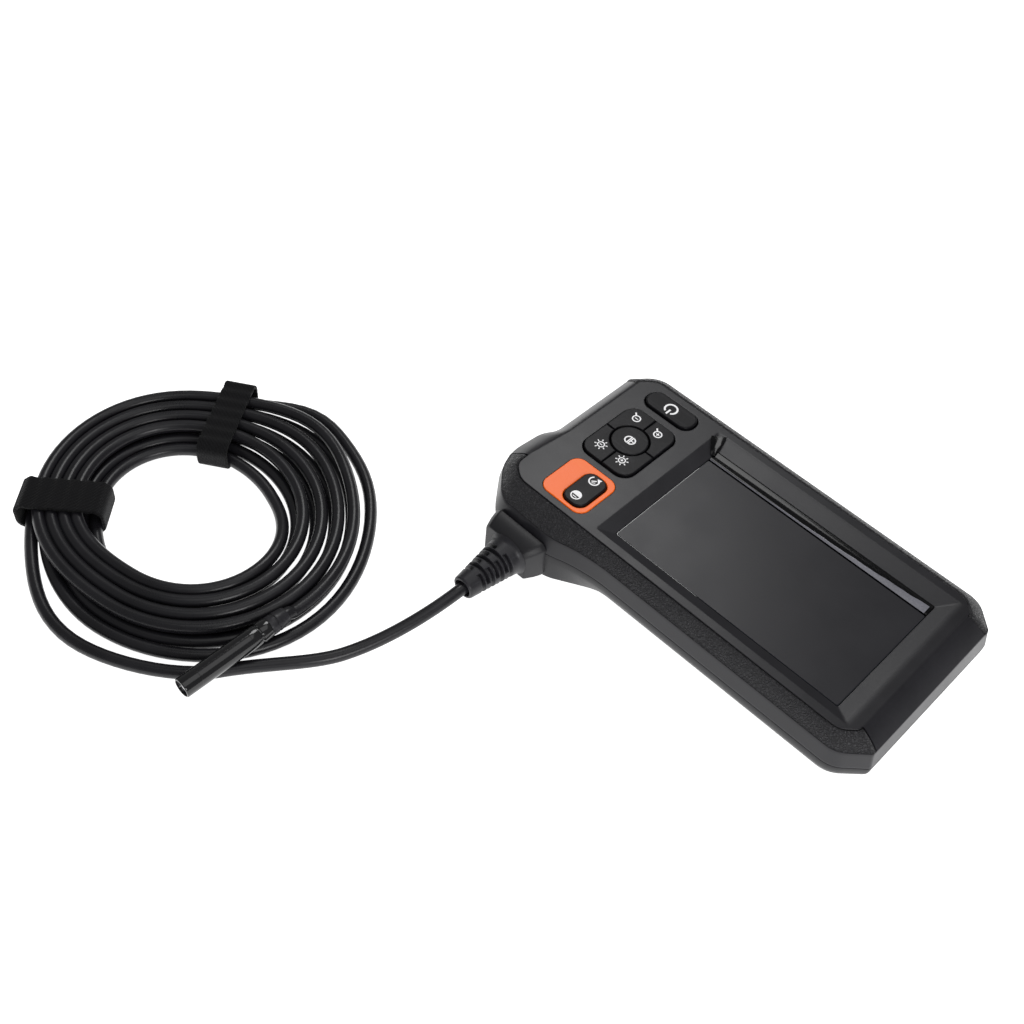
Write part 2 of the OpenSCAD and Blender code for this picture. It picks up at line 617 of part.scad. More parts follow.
front_shell();
rear_shell();
near_grip();
far_grip();
display_glass();
display_gasket();
lcd_panel();
screen_film();
screen_trim();
accent_plate();
power_key();
zoom_out_key();
zoom_in_key();
light_down_key();
light_up_key();
camera_switch_key();
flip_rocker();
keypad_membrane();
tact_switches();
key_board();
main_board();
battery_pack();
charge_port();
card_slot();
port_cover();
case_screws();
plug_block();
strain_relief_boot();
cable_lead();
lead_connector();
cable();
probe_tube();
probe_neck();
lens_window();
led_ring();
camera_module();
upper_tie();
left_tie();
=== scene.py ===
"""Handheld inspection camera: a screen pad with a coiled cable and a probe.

The pad lies on its back: rear face at z = 0, screen and keys facing +Z at z = 30.
The screen fills the +X side and the keys sit at -X. The cable leaves the -Y side
through a plug block and boot, coils on the floor towards -X, and ends in the probe.
A user holding the pad has -X on the right and -Y up. Lengths are in millimetres;
the lights, the floor and the camera are placed in metres.
"""
import bmesh
import bpy
import math
import numpy as np
from mathutils import Vector, Matrix
from mathutils.geometry import tessellate_polygon


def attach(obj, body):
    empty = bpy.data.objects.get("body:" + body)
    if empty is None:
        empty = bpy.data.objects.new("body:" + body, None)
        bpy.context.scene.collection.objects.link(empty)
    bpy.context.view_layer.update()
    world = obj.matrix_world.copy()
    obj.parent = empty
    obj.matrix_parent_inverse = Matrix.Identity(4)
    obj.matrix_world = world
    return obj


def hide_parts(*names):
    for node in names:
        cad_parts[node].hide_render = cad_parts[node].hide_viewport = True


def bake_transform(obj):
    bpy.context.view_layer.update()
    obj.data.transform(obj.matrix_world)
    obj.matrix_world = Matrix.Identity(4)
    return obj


MM = 0.001

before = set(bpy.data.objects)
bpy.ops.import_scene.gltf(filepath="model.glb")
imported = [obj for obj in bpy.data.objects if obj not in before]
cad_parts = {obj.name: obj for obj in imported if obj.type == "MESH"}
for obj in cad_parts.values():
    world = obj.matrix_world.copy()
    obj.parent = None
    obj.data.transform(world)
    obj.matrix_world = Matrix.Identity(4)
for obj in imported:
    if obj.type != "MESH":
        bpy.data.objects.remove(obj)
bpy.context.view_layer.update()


# ------------------------------------------------------------------ materials


class NodeMaterial:
    """A node material being built; its texture coordinates are in millimetres."""

    def __init__(self, name, textured=True):
        self.material = bpy.data.materials.new(name)
        self.material.use_nodes = True
        self.tree = self.material.node_tree
        self.shader = self.tree.nodes["Principled BSDF"]
        self.normal = None
        if textured:
            source = self.node("TexCoord").outputs["Object"]
            self.coords = self.mapping(source, scale=1 / MM)

    def node(self, kind, **settings):
        made = self.tree.nodes.new("ShaderNode" + kind)
        for key, value in settings.items():
            setattr(made, key, value)
        return made

    def feed(self, socket, value):
        """Sets a socket to a number or an RGB colour, or links a node output to it."""
        if isinstance(value, (int, float)):
            socket.default_value = value
        elif isinstance(value, tuple):
            socket.default_value = (*value, 1)
        else:
            self.tree.links.new(value, socket)

    def feed_all(self, node, values):
        for key, value in values.items():
            self.feed(node.inputs[key], value)

    def mapping(self, vector, scale):
        made = self.node("Mapping")
        made.inputs["Scale"].default_value = (scale, scale, scale)
        self.feed(made.inputs["Vector"], vector)
        return made.outputs["Vector"]

    def noise(self, scale, detail=3, roughness=0.55):
        made = self.node("TexNoise")
        self.feed_all(made, {"Scale": scale, "Detail": detail, "Roughness": roughness,
                             "Vector": self.coords})
        return made.outputs["Fac"]

    def cell_edges(self, scale, coords):
        made = self.node("TexVoronoi", feature="DISTANCE_TO_EDGE")
        self.feed_all(made, {"Scale": scale, "Vector": coords})
        return made.outputs["Distance"]

    def bands(self, scale, direction, distortion, coords):
        made = self.node("TexWave", bands_direction=direction)
        self.feed_all(made, {"Scale": scale, "Distortion": distortion, "Vector": coords})
        return made.outputs["Fac"]

    def remap(self, value, low=0.3, high=0.7, to_low=0.0, to_high=1.0):
        """Stretches low..high, by default the middle range of a noise, to to_low..to_high."""
        made = self.node("MapRange", clamp=True)
        self.feed_all(made, {"From Min": low, "From Max": high, "To Min": to_low,
                             "To Max": to_high, "Value": value})
        return made.outputs["Result"]

    def calculate(self, operation, first, second):
        made = self.node("Math", operation=operation)
        self.feed_all(made, {0: first, 1: second})
        return made.outputs[0]

    def times(self, first, second):
        return self.calculate("MULTIPLY", first, second)

    def plus(self, first, second):
        return self.calculate("ADD", first, second)

    def mix(self, factor, first, second):
        made = self.node("Mix", data_type="RGBA")
        # 0 is the factor; 6, 7 and output 2 are the colour sockets
        self.feed_all(made, {0: factor, 6: first, 7: second})
        return made.outputs[2]

    def bump(self, height, strength, depth):
        """Adds a bump, depth in mm, on top of any earlier one."""
        made = self.node("Bump")
        self.feed_all(made, {"Strength": strength, "Distance": depth * MM, "Height": height})
        if self.normal is not None:
            self.feed(made.inputs["Normal"], self.normal)
        self.normal = made.outputs["Normal"]

    def edges(self):
        """1 on convex edges, 0 on flat ground."""
        pointiness = self.node("NewGeometry").outputs["Pointiness"]
        return self.remap(pointiness, low=0.505, high=0.56)

    def glow(self, colour, strength):
        self.feed_all(self.shader, {"Emission Color": colour, "Emission Strength": strength})

    def finish(self, colour, roughness, metallic=0.0, specular=0.5, coat=0.0,
               coat_roughness=0.1, sheen=0.0):
        self.feed_all(self.shader, {
            "Base Color": colour, "Roughness": roughness, "Metallic": metallic,
            "Specular IOR Level": specular, "Coat Weight": coat,
            "Coat Roughness": coat_roughness, "Sheen Weight": sheen})
        if self.normal is not None:
            self.feed(self.shader.inputs["Normal"], self.normal)
        return self.material


def shade(colour, factor, lift=0.0):
    return tuple(min(1, x * factor + lift) for x in colour)


def plastic(name, colour, roughness, grain=2.2, depth=0.02, variation=0.18, wear=0.35,
            specular=0.5, strength=0.5):
    """Moulded plastic: fine grain, slow colour drift, paler worn edges."""
    m = NodeMaterial(name)
    drift = m.noise(scale=0.05)
    fine = m.noise(scale=grain, detail=4, roughness=0.6)
    base = m.mix(m.remap(drift), shade(colour, 1 - variation), shade(colour, 1 + variation))
    patches = m.edges(), m.remap(m.noise(scale=0.6), low=0.4, high=0.7, to_low=0.3)
    worn = m.times(*patches)
    base = m.mix(m.times(worn, wear), base, shade(colour, 2.2, lift=0.01))
    m.bump(fine, strength=strength, depth=depth)
    blend = m.plus(m.times(fine, 0.5), m.times(drift, 0.5))
    rough = m.remap(blend, to_low=roughness - 0.06, to_high=roughness + 0.06)
    return m.finish(base, rough, specular=specular)


def leather(name, colour):
    """Pebbled leather: warped cells of two sizes, painted shade in the creases, painted
    highlight on edges.
    """
    m = NodeMaterial(name)
    warp = m.noise(scale=0.9, detail=2)
    warped = m.node("VectorMath", operation="ADD")
    m.feed_all(warped, {0: m.coords, 1: warp})
    large = m.cell_edges(scale=0.82, coords=warped.outputs[0])
    small = m.cell_edges(scale=1.9, coords=warped.outputs[0])
    pebble = m.remap(large, low=0.0, high=0.22)
    fine_pebble = m.remap(small, low=0.0, high=0.3)
    height = m.plus(m.times(pebble, 0.75), m.times(fine_pebble, 0.3))
    # painted shade: the creases between the pebbles are darkened in the colour
    base = m.mix(pebble, shade(colour, 0.55), colour)
    # painted highlight: convex edges are lightened in the colour
    base = m.mix(m.times(m.edges(), 0.3), base, shade(colour, 1.8))
    m.bump(height, strength=1.0, depth=0.34)
    m.bump(m.noise(scale=5.0, detail=2), strength=0.25, depth=0.03)
    rough = m.remap(pebble, low=0, high=1, to_low=0.6, to_high=0.34)
    return m.finish(base, rough, specular=0.4)


def metal(name, colour, roughness):
    m = NodeMaterial(name)
    grain = m.noise(scale=3.0)
    base = m.mix(m.remap(grain, low=0.35, high=0.65), shade(colour, 0.85), colour)
    m.bump(grain, strength=0.15, depth=0.01)
    rough = m.remap(grain, to_low=roughness * 0.8, to_high=roughness * 1.2)
    return m.finish(base, rough, metallic=1.0)


def gloss(name, colour, roughness, coat=1.0, specular=0.5):
    m = NodeMaterial(name)
    drift = m.noise(scale=0.08)
    base = m.mix(m.remap(drift), shade(colour, 0.85), shade(colour, 1.15))
    m.bump(m.noise(scale=0.25, detail=2), strength=0.06, depth=0.05)
    rough = m.remap(m.noise(scale=1.2, detail=4), to_low=roughness * 0.7,
                    to_high=roughness * 1.6)
    return m.finish(base, rough, coat=coat, coat_roughness=roughness * 0.6,
                    specular=specular)


def woven(name, colour):
    """Woven band: crossing threads that follow the UV map, plus fuzz."""
    m = NodeMaterial(name)
    coords = m.mapping(m.node("UVMap").outputs["UV"], scale=1)
    along = m.bands(scale=0.55, direction="X", distortion=0.4, coords=coords)
    across = m.bands(scale=0.42, direction="Y", distortion=0.4, coords=coords)
    twill = m.bands(scale=0.33, direction="DIAGONAL", distortion=0.6, coords=coords)
    threads = m.plus(m.times(along, across), m.times(twill, 0.5))
    fuzz = m.noise(scale=3.0, detail=4, roughness=0.7)
    height = m.plus(threads, m.times(fuzz, 0.5))
    # painted light and shade: darker where the weave lies low, lighter on the raised threads
    base = m.mix(m.remap(height, low=0.2, high=1.3), shade(colour, 0.4), shade(colour, 1.5))
    m.bump(height, strength=0.8, depth=0.22)
    return m.finish(base, roughness=0.8, specular=0.16, sheen=0.06)


def ink(name, colour):
    m = NodeMaterial(name)
    grain = m.noise(scale=1.5)
    base = m.mix(m.remap(grain), shade(colour, 0.9), colour)
    m.bump(grain, strength=0.1, depth=0.01)
    # painted glow: the print emits light so it looks brighter, though it is no lamp
    m.glow(base, strength=0.3)
    return m.finish(base, roughness=0.45)


SHELL_PLASTIC = plastic("shell_plastic", (0.0122, 0.0118, 0.0148), roughness=0.35,
                        grain=2.6, depth=0.03, specular=0.36, wear=0.12)
REAR_PLASTIC = plastic("rear_plastic", (0.0085, 0.0083, 0.0100), roughness=0.44,
                       grain=2.0, depth=0.05, strength=0.7, specular=0.3)
GRIP_LEATHER = leather("grip_leather", (0.0210, 0.0205, 0.0240))
KEY_RUBBER = plastic("key_rubber", (0.0042, 0.0040, 0.0054), roughness=0.38, grain=4.0,
                     depth=0.012, variation=0.12, wear=0.5, specular=0.17)
ORANGE = plastic("orange_plate", (1.0, 0.165, 0.014), roughness=0.3, grain=3.0,
                 depth=0.01, variation=0.04, wear=0.1, specular=0.3)
# painted glow: a faint orange emission brightens the plate, though it is no lamp
orange_inputs = ORANGE.node_tree.nodes["Principled BSDF"].inputs
orange_inputs["Emission Color"].default_value = (1.0, 0.12, 0.0, 1)
orange_inputs["Emission Strength"].default_value = 0.13
FILM_PLASTIC = plastic("screen_film", (0.0150, 0.0146, 0.0182), roughness=0.34, grain=6.0,
                       depth=0.004, variation=0.05, wear=0.0, specular=0.34, strength=0.25)
GLOSS_BLACK = gloss("gloss_black", (0.0015, 0.0015, 0.002), roughness=0.1, coat=0.0,
                    specular=0.22)
# painted highlight: the pale grey colour stands in for the bright reflection along the lifted
# film edge
CURL_FILM_HIGHLIGHT = gloss("film_curl", (0.16, 0.16, 0.185), roughness=0.22, coat=0.3)
WHITE_PRINT = ink("white_print", (0.86, 0.86, 0.87))
PLUG_PLASTIC = plastic("plug_plastic", (0.0105, 0.0102, 0.0124), roughness=0.42,
                       grain=2.4, depth=0.03, specular=0.34)
BOOT_RUBBER = plastic("boot_rubber", (0.0180, 0.0176, 0.0210), roughness=0.38, grain=1.8,
                      depth=0.03, variation=0.2, specular=0.32)
CABLE_JACKET = plastic("cable_jacket", (0.0115, 0.0112, 0.0136), roughness=0.3, grain=1.6,
                       depth=0.02, variation=0.25, wear=0.0, specular=0.34)
WOVEN_TIE = woven("woven_tie", (0.0055, 0.0055, 0.0064))
PROBE_BLACK = gloss("probe_black", (0.006, 0.006, 0.007), roughness=0.12, coat=0.35,
                    specular=0.4)
DARK_STEEL = metal("dark_steel", (0.28, 0.28, 0.29), roughness=0.35)
SOCKET_METAL = metal("socket_metal", (0.6, 0.61, 0.63), roughness=0.3)
LIGHT_RING = plastic("light_ring", (0.8, 0.77, 0.6), roughness=0.3, grain=2.0, depth=0.02,
                     variation=0.08, wear=0.0)
LENS_GLASS = gloss("lens_glass", (0.010, 0.012, 0.02), roughness=0.03)
INNER_DARK = plastic("inner_dark", (0.006, 0.006, 0.006), roughness=0.6)
BOARD_GREEN = plastic("board_green", (0.02, 0.11, 0.045), roughness=0.4, grain=1.5,
                      depth=0.02)
BATTERY_WRAP = plastic("battery_wrap", (0.05, 0.08, 0.18), roughness=0.4, grain=0.8,
                       depth=0.03)
NYLON = plastic("connector_nylon", (0.62, 0.58, 0.46), roughness=0.45)

# ------------------------------------------------------------------ mesh tools


def smooth_shade(mesh, sharp_angle):
    mesh.polygons.foreach_set("use_smooth", [True] * len(mesh.polygons))
    mesh.set_sharp_from_angle(angle=math.radians(sharp_angle))


class MeshBuilder:
    """Collects vertices and faces; rings are handled as ranges of vertex indices."""

    def __init__(self):
        self.verts = []
        self.faces = []

    def add(self, points):
        start = len(self.verts)
        self.verts.extend([tuple(map(float, p)) for p in points])
        return range(start, len(self.verts))

    def bridge(self, low, high, closed=True, flip=False):
        """Joins two rings with quads."""
        count = len(low)
        for j in range(count if closed else count - 1):
            k = (j + 1) % count
            face = (low[j], low[k], high[k], high[j])
            self.faces.append(face[::-1] if flip else face)

    def loft(self, rings, closed=True, flip=False, cap_first=False, cap_last=False):
        ids = [self.add(ring) for ring in rings]
        for low, high in zip(ids, ids[1:]):
            self.bridge(low, high, closed, flip)
        if cap_first:
            self.fill([ids[0]], not flip)
        if cap_last:
            self.fill([ids[-1]], flip)
        return ids

    def fill(self, loops, flip=False):
        """Fills a level polygon, holes given as further loops; faces up unless flipped."""
        flat = [[Vector((*self.verts[i][:2], 0)) for i in loop] for loop in loops]
        indices = [i for loop in loops for i in loop]
        for triangle in tessellate_polygon(flat):
            face = [indices[i] for i in triangle]
            a, b, c = (np.array(self.verts[i]) for i in face)
            faces_up = np.cross(b - a, c - a)[2] > 0
            self.faces.append(tuple(face[::-1] if faces_up == flip else face))

    def end_faces(self, ids, flip=False):
        """Closes both ends of a loft with one polygon each."""
        first, last = tuple(ids[0]), tuple(ids[-1])
        self.faces.append(first[::-1] if flip else first)
        self.faces.append(last if flip else last[::-1])

    def make(self, name, material, body, slot, replaces=(), sharp_angle=32, uv=None):
        """Makes the object; sharp_angle None leaves it flat shaded."""
        mesh = bpy.data.meshes.new(name)
        mesh.from_pydata([tuple(c * MM for c in v) for v in self.verts], [], self.faces)
        mesh.validate()
        if uv is not None:
            layer = mesh.uv_layers.new(name="UVMap")
            corners = np.empty(len(mesh.loops), int)
            mesh.loops.foreach_get("vertex_index", corners)
            layer.data.foreach_set("uv", np.asarray(uv, float)[corners].reshape(-1))
        mesh.update()
        mesh.materials.append(material)
        if sharp_angle is not None:
            smooth_shade(mesh, sharp_angle)
        made = bpy.data.objects.new(name, mesh)
        bpy.context.scene.collection.objects.link(made)
        if body:
            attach(made, body)
        if replaces:
            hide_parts(*replaces)
        return made


def round_corner(outline, i, radius, steps):
    """Points of a quadratic curve cutting corner i; zero steps keeps the corner."""
    before, corner, after = outline[i - 1], outline[i], outline[(i + 1) % len(outline)]
    if steps == 0:
        return [corner]
    length_in = np.linalg.norm(before - corner)
    length_out = np.linalg.norm(after - corner)
    cut = min(radius, length_in * 0.45, length_out * 0.45)
    start = corner + (before - corner) / length_in * cut
    end = corner + (after - corner) / length_out * cut
    return [(1 - t) ** 2 * start + 2 * t * (1 - t) * corner + t * t * end
            for t in np.linspace(0, 1, steps + 1)]


def inset(outline, distance):
    """Moves a counter-clockwise outline inwards."""
    outline = np.asarray(outline, float)
    edge_in = outline - np.roll(outline, 1, 0)
    edge_out = np.roll(outline, -1, 0) - outline
    edge_in /= np.linalg.norm(edge_in, axis=1)[:, None] + 1e-12
    edge_out /= np.linalg.norm(edge_out, axis=1)[:, None] + 1e-12
    normal_in = np.stack([-edge_in[:, 1], edge_in[:, 0]], 1)
    normal_out = np.stack([-edge_out[:, 1], edge_out[:, 0]], 1)
    spread = 1 + (normal_in * normal_out).sum(1)
    return outline + (normal_in + normal_out) * (distance / np.maximum(spread, 0.25))[:, None]


def rounded_rect(box, radius, steps, grow=0):
    """Counter-clockwise rounded rectangle; box is (x0, y0, x1, y1)."""
    x0, y0, x1, y1 = box[0] - grow, box[1] - grow, box[2] + grow, box[3] + grow
    left, right, low, high = x0 + radius, x1 - radius, y0 + radius, y1 - radius
    points = []
    for x, y, start in ((right, low, -90), (right, high, 0), (left, high, 90), (left, low, 180)):
        for j in range(steps + 1):
            t = math.radians(start + 90 * j / steps)
            points.append((x + radius * math.cos(t), y + radius * math.sin(t)))
    return np.array(points)


def circle(x, y, radius, count):
    t = np.arange(count) * 2 * math.pi / count
    return np.stack([x + radius * np.cos(t), y + radius * np.sin(t)], 1)


def at_height(outline, z):
    outline = np.asarray(outline, float)
    return np.column_stack([outline[:, 0], outline[:, 1], np.full(len(outline), z)])


def inset_rings(outline, steps):
    """One ring per (inset, z) step."""
    return [at_height(inset(outline, distance), z) for distance, z in steps]


def hole_steps(top, floor, fillet, lip, angles):
    """(inset, z) steps from a flat lip over a fillet and down the wall of a hole."""
    curve = [(-fillet + fillet * math.sin(a), top - fillet + fillet * math.cos(a))
             for a in np.radians(angles)]
    return [(-fillet - lip, top), (-fillet, top), *curve, (0, floor)]


def y_ring(x, y, z, radius, count):
    """A ring about an axis along Y; radius is one number or one per point."""
    t = np.arange(count) * 2 * math.pi / count
    return np.column_stack([x + radius * np.cos(t), np.full(count, y), z + radius * np.sin(t)])


def ease(t):
    return t * t * (3 - 2 * t)


FILLET_ANGLES = (22.5, 45, 67.5, 90)

# ------------------------------------------------------------------ pad outline
TOP_Z, SHOULDER_Z, SEAM_Z = 30, 24, 16

# One row per corner, counter-clockwise seen from +Z. Columns: x, y of the outline at
# the top (z 30), shoulder (z 24), seam (z 16) and base (z 0); corner radius and steps;
# 1 where the corner lies beside a grip.
OUTLINE = np.array([
    (80.7, -43.5, 84.6, -48.8, 85.6, -50, 83, -42, 5, 8, 1),
    (86.2, -38, 95, -38.9, 96.6, -39.4, 92, -33, 5, 8, 1),
    (86.2, -36.2, 95, -36.9, 96.6, -37.2, 92, -31.3, 0, 0, 1),
    (86.2, -36.0, 95, -36.7, 96.6, -37.0, 92, -31.1, 0, 0, 0),
    (86.2, 36.0, 95.2, 38.3, 96.8, 38.8, 92, 31.8, 0, 0, 0),
    (86.2, 36.2, 95.2, 38.5, 96.8, 39, 92, 32, 0, 0, 1),
    (86.2, 38, 95.2, 41, 96.8, 41.6, 92, 34, 5, 8, 1),
    (80.7, 43.5, 84.9, 51, 86, 51.8, 83, 43, 5, 8, 1),
    (-80, 43.5, -84.5, 51, -85.2, 51.8, -81, 43, 7, 10, 1),
    (-86, 37.5, -93.3, 40, -94.5, 40.5, -90, 32.5, 7, 10, 1),
    (-86, 35.5, -93.3, 37.8, -94.5, 38.2, -90, 30.5, 0, 0, 1),
    (-86, 35.3, -93.3, 37.6, -94.5, 38.0, -90, 30.3, 0, 0, 0),
    (-86, -8, -93.3, -8, -94.5, -8, -90, -8, 8, 10, 0),
    (-86.6, -14, -97, -14, -99.3, -14, -92.5, -14, 8, 10, 0),
    (-88, -27, -98.1, -28, -100.5, -28, -93.2, -27, 6, 8, 0),
    (-88.6, -31.35, -97.48, -32.35, -99.87, -31.95, -92.38, -31.35, 0, 0, 0),
    (-88.6, -31.55, -97.47, -32.55, -99.85, -32.15, -92.37, -31.55, 0, 0, 1),
    (-88.4, -38.2, -94.6, -40.4, -97.2, -39, -90.5, -37.5, 7, 10, 1),
    (-81.8, -43.5, -83.5, -53, -83.8, -55.6, -83, -54.6, 7, 10, 1),
    (-54, -43.5, -54, -53.4, -54, -56, -54, -55.3, 8, 10, 1),
    (-44, -43.5, -44, -50.6, -44, -52.5, -44, -49.5, 9, 10, 1),
    (-31, -43.5, -31, -48.9, -31, -50.2, -32, -42.6, 14, 10, 1),
])
TOP, SHOULDER, SEAM, BASE = (OUTLINE[:, k:k + 2] for k in (0, 2, 4, 6))
CORNER_RADIUS = OUTLINE[:, 8]
CORNER_STEPS = OUTLINE[:, 9].astype(int)
BESIDE_GRIP = OUTLINE[:, 10].astype(bool)
NEAR_GRIP_CORNERS = range(16, 25)   # -Y side, running on past the last row
FAR_GRIP_CORNERS = range(5, 11)     # +Y side


def level(z):
    """The pad's corner outline at height z."""
    if z >= SHOULDER_Z:
        return TOP + (SHOULDER - TOP) * ((TOP_Z - z) / (TOP_Z - SHOULDER_Z)) ** 0.72
    if z >= SEAM_Z:
        return SHOULDER + (SEAM - SHOULDER) * (SHOULDER_Z - z) / (SHOULDER_Z - SEAM_Z)
    share = np.interp(z, [0, 1, 4, 8, 12, 16], [1, 0.9, 0.6, 0.28, 0.03, 0])
    return SEAM + (BASE - SEAM) * share


def rounded(outline, corners=range(len(OUTLINE))):
    """The outline with rounded corners, all the way round or over some corners."""
    points = []
    for i in corners:
        k = i % len(outline)
        points += round_corner(outline, k, CORNER_RADIUS[k], CORNER_STEPS[k])
    return np.array(points)


# Boxes on the pad's face: x0, y0, x1, y1
KEYPAD = (-77.85, -12.2, -51.15, 23.7)
POWER_KEY = (-77.35, 28.4, -51.6, 39.2)
ROCKER = (-64.4, -38.0, -53.1, -19.1)
ACCENT_PLATE = (-74.5, -40.2, -50.5, -16.0)
WINDOW = (-35.9, -35.0, 74.6, 31.6)
KEY_GAP = 0.45
KEYPAD_CENTRE = (-64.5, 6.0)
SCREWS = [(81.5, 32), (81.5, -32), (-43, 38.5), (-43, -38.5), (-83, 33), (-83, -27)]

# ------------------------------------------------------------------ shells


def front_shell():
    """Upper shell with a channel for each grip, key openings and a bevelled window."""
    shell = MeshBuilder()
    rows = []

    def add(grip, grip_z, plain_z, plain_outline=None):
        """A ring with its own outline and height beside the grips and elsewhere."""
        if plain_outline is None:
            plain_outline = level(plain_z)
        points = rounded(np.where(BESIDE_GRIP[:, None], grip, plain_outline))
        z = np.repeat(np.where(BESIDE_GRIP, grip_z, plain_z), CORNER_STEPS + 1)
        rows.append(np.column_stack([points, z]))

    add(inset(TOP, 0.5), 30, 30, inset(TOP, 0.5))
    add(inset(TOP, 0.3), 30, 30, inset(TOP, 0.25))
    add(inset(TOP, 0.15), 29.96, 30)
    add(inset(TOP, 0.04), 29.85, 29.97)
    add(TOP, 29.7, 29.88)
    add(TOP, 29.3, 29.7)
    add(TOP, 28.7, 29.4)
    add(inset(TOP, 0.6), 28.3, 29.0)
    add(inset(level(28), 1.6), 27.9, 28.4)
    for z, plain_z in ((27, 27.6), (26, 26.6), (25, 25.4)):
        add(inset(level(z), 1.8), z, plain_z)
    add(inset(SHOULDER, 1.7), 24.02, 24.4)
    add(inset(SHOULDER, 0.25), 24.0, 24.1)
    add(inset(SHOULDER, 0.07), 23.94, 23.9)
    for z in (23.7, 22.5, 21, 19.5, 18, 17, 16.3):
        add(level(z), z, z)
    # turned in at the seam
    for distance, z in ((0.06, 16.08), (0.24, 16.0), (1.8, 16.0), (2.2, 18.0)):
        add(inset(SEAM, distance), z, z, inset(SEAM, distance))
    loops = [shell.loft(rows, flip=True)[0]]

    # box, corner radius, growth, fillet, depth
    for box, radius, grow, fillet, depth in (
            (KEYPAD, 6.4, KEY_GAP, 0.35, 3.2),
            (POWER_KEY, 5.3, KEY_GAP, 0.35, 3.2),
            (ACCENT_PLATE, 5.1, 0.12, 0.2, 1.6)):
        steps = hole_steps(TOP_Z, TOP_Z - depth, fillet, lip=0.25, angles=FILLET_ANGLES)
        outline = rounded_rect(box, radius, steps=12, grow=grow)
        loops.append(shell.loft(inset_rings(outline, steps))[0])

    # window surround, rows of x0, y0, x1, y1, corner radius, z
    bevel_top = np.array([-42.2, -39.5, 81.0, 39.5, 1.1, 29.93])
    bevel_foot = np.array([-36.0, -35.05, 74.7, 31.7, 0.7, 28.43])
    surround = [(-42.9, -40.1, 83.6, 40.1, 1.4, 30), (-42.5, -39.75, 82.6, 39.75, 1.2, 30)]
    surround += [bevel_top + (bevel_foot - bevel_top) * t for t in (0, 0.2, 0.5, 0.8, 1)]
    surround += [(*WINDOW, 0.7, 28.3), (*WINDOW, 0.7, 26.4)]
    rings = [at_height(rounded_rect(row[:4], row[4], steps=6), row[5]) for row in surround]
    loops.append(shell.loft(rings)[0])
    shell.fill(loops)
    shell.make("front_shell_skin", SHELL_PLASTIC, "pad", "shell", ["front_shell"])


def rear_cutter():
    """Screw wells, the port cover's recess in the -X side and two pockets behind it."""
    cutter = MeshBuilder()
    for x, y in SCREWS:
        wells = ((3.5, -0.5), (3.5, 0.0), (3.05, 0.45), (3.05, 4.4))   # radius, z
        cutter.loft([at_height(circle(x, y, r, count=40), z) for r, z in wells],
                    cap_first=True, cap_last=True)
    # x, z of the recess
    profile = [(-99, 3.6), (-91.1, 3.6), (-91.1, 7.4), (-92.6, 7.4), (-92.6, 14.4), (-99, 14.4)]
    ids = cutter.loft([[(x, y, z) for x, z in profile] for y in (-6.3, 22.3)], flip=True)
    cutter.end_faces(ids)
    pockets = ((-94, -3.4, 8.7, -88, 6.4, 12.9), (-94.2, 8.3, 10.2, -88.2, 20.7, 12.9))
    for x0, y0, z0, x1, y1, z1 in pockets:
        box = cutter.add([(x, y, z) for z in (z0, z1)
                          for x, y in ((x0, y0), (x1, y0), (x1, y1), (x0, y1))])
        for face in ((3, 2, 1, 0), (4, 5, 6, 7), (0, 1, 5, 4), (1, 2, 6, 5), (2, 3, 7, 6),
                     (3, 0, 4, 7)):
            cutter.faces.append(tuple(box[k] for k in face))
    return cutter.make("cutter", INNER_DARK, None, None, sharp_angle=None)


def rear_shell():
    builder = MeshBuilder()
    stations = [(inset(level(2.4), 2.6), 2.4), (inset(level(8), 2.6), 8),
                (inset(SEAM, 2.6), 15.8), (inset(SEAM, 0.24), 15.8),
                (inset(SEAM, 0.07), 15.73), (SEAM, 15.5)]
    stations += [(level(z), z) for z in (14, 12.5, 11, 9.5, 8, 6, 4, 2.4, 1, 0.35)]
    stations += [(inset(level(0.1), 0.1), 0.1), (inset(BASE, 0.35), 0)]
    builder.loft([at_height(rounded(outline), z) for outline, z in stations],
                 cap_first=True, cap_last=True)
    shell = builder.make("rear_shell_skin", REAR_PLASTIC, None, "shell")
    cutter = rear_cutter()
    for part in (shell, cutter):
        work = bmesh.new()
        work.from_mesh(part.data)
        bmesh.ops.recalc_face_normals(work, faces=work.faces)
        work.to_mesh(part.data)
        work.free()
    cut = shell.modifiers.new("cut", "BOOLEAN")
    cut.operation = "DIFFERENCE"
    cut.object = cutter
    cut.solver = "EXACT"
    depsgraph = bpy.context.evaluated_depsgraph_get()
    mesh = bpy.data.meshes.new_from_object(shell.evaluated_get(depsgraph))
    shell.modifiers.clear()
    shell.data = mesh
    mesh.materials.clear()
    mesh.materials.append(REAR_PLASTIC)
    smooth_shade(mesh, sharp_angle=26)
    bpy.data.objects.remove(cutter)
    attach(shell, "pad")
    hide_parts("rear_shell")


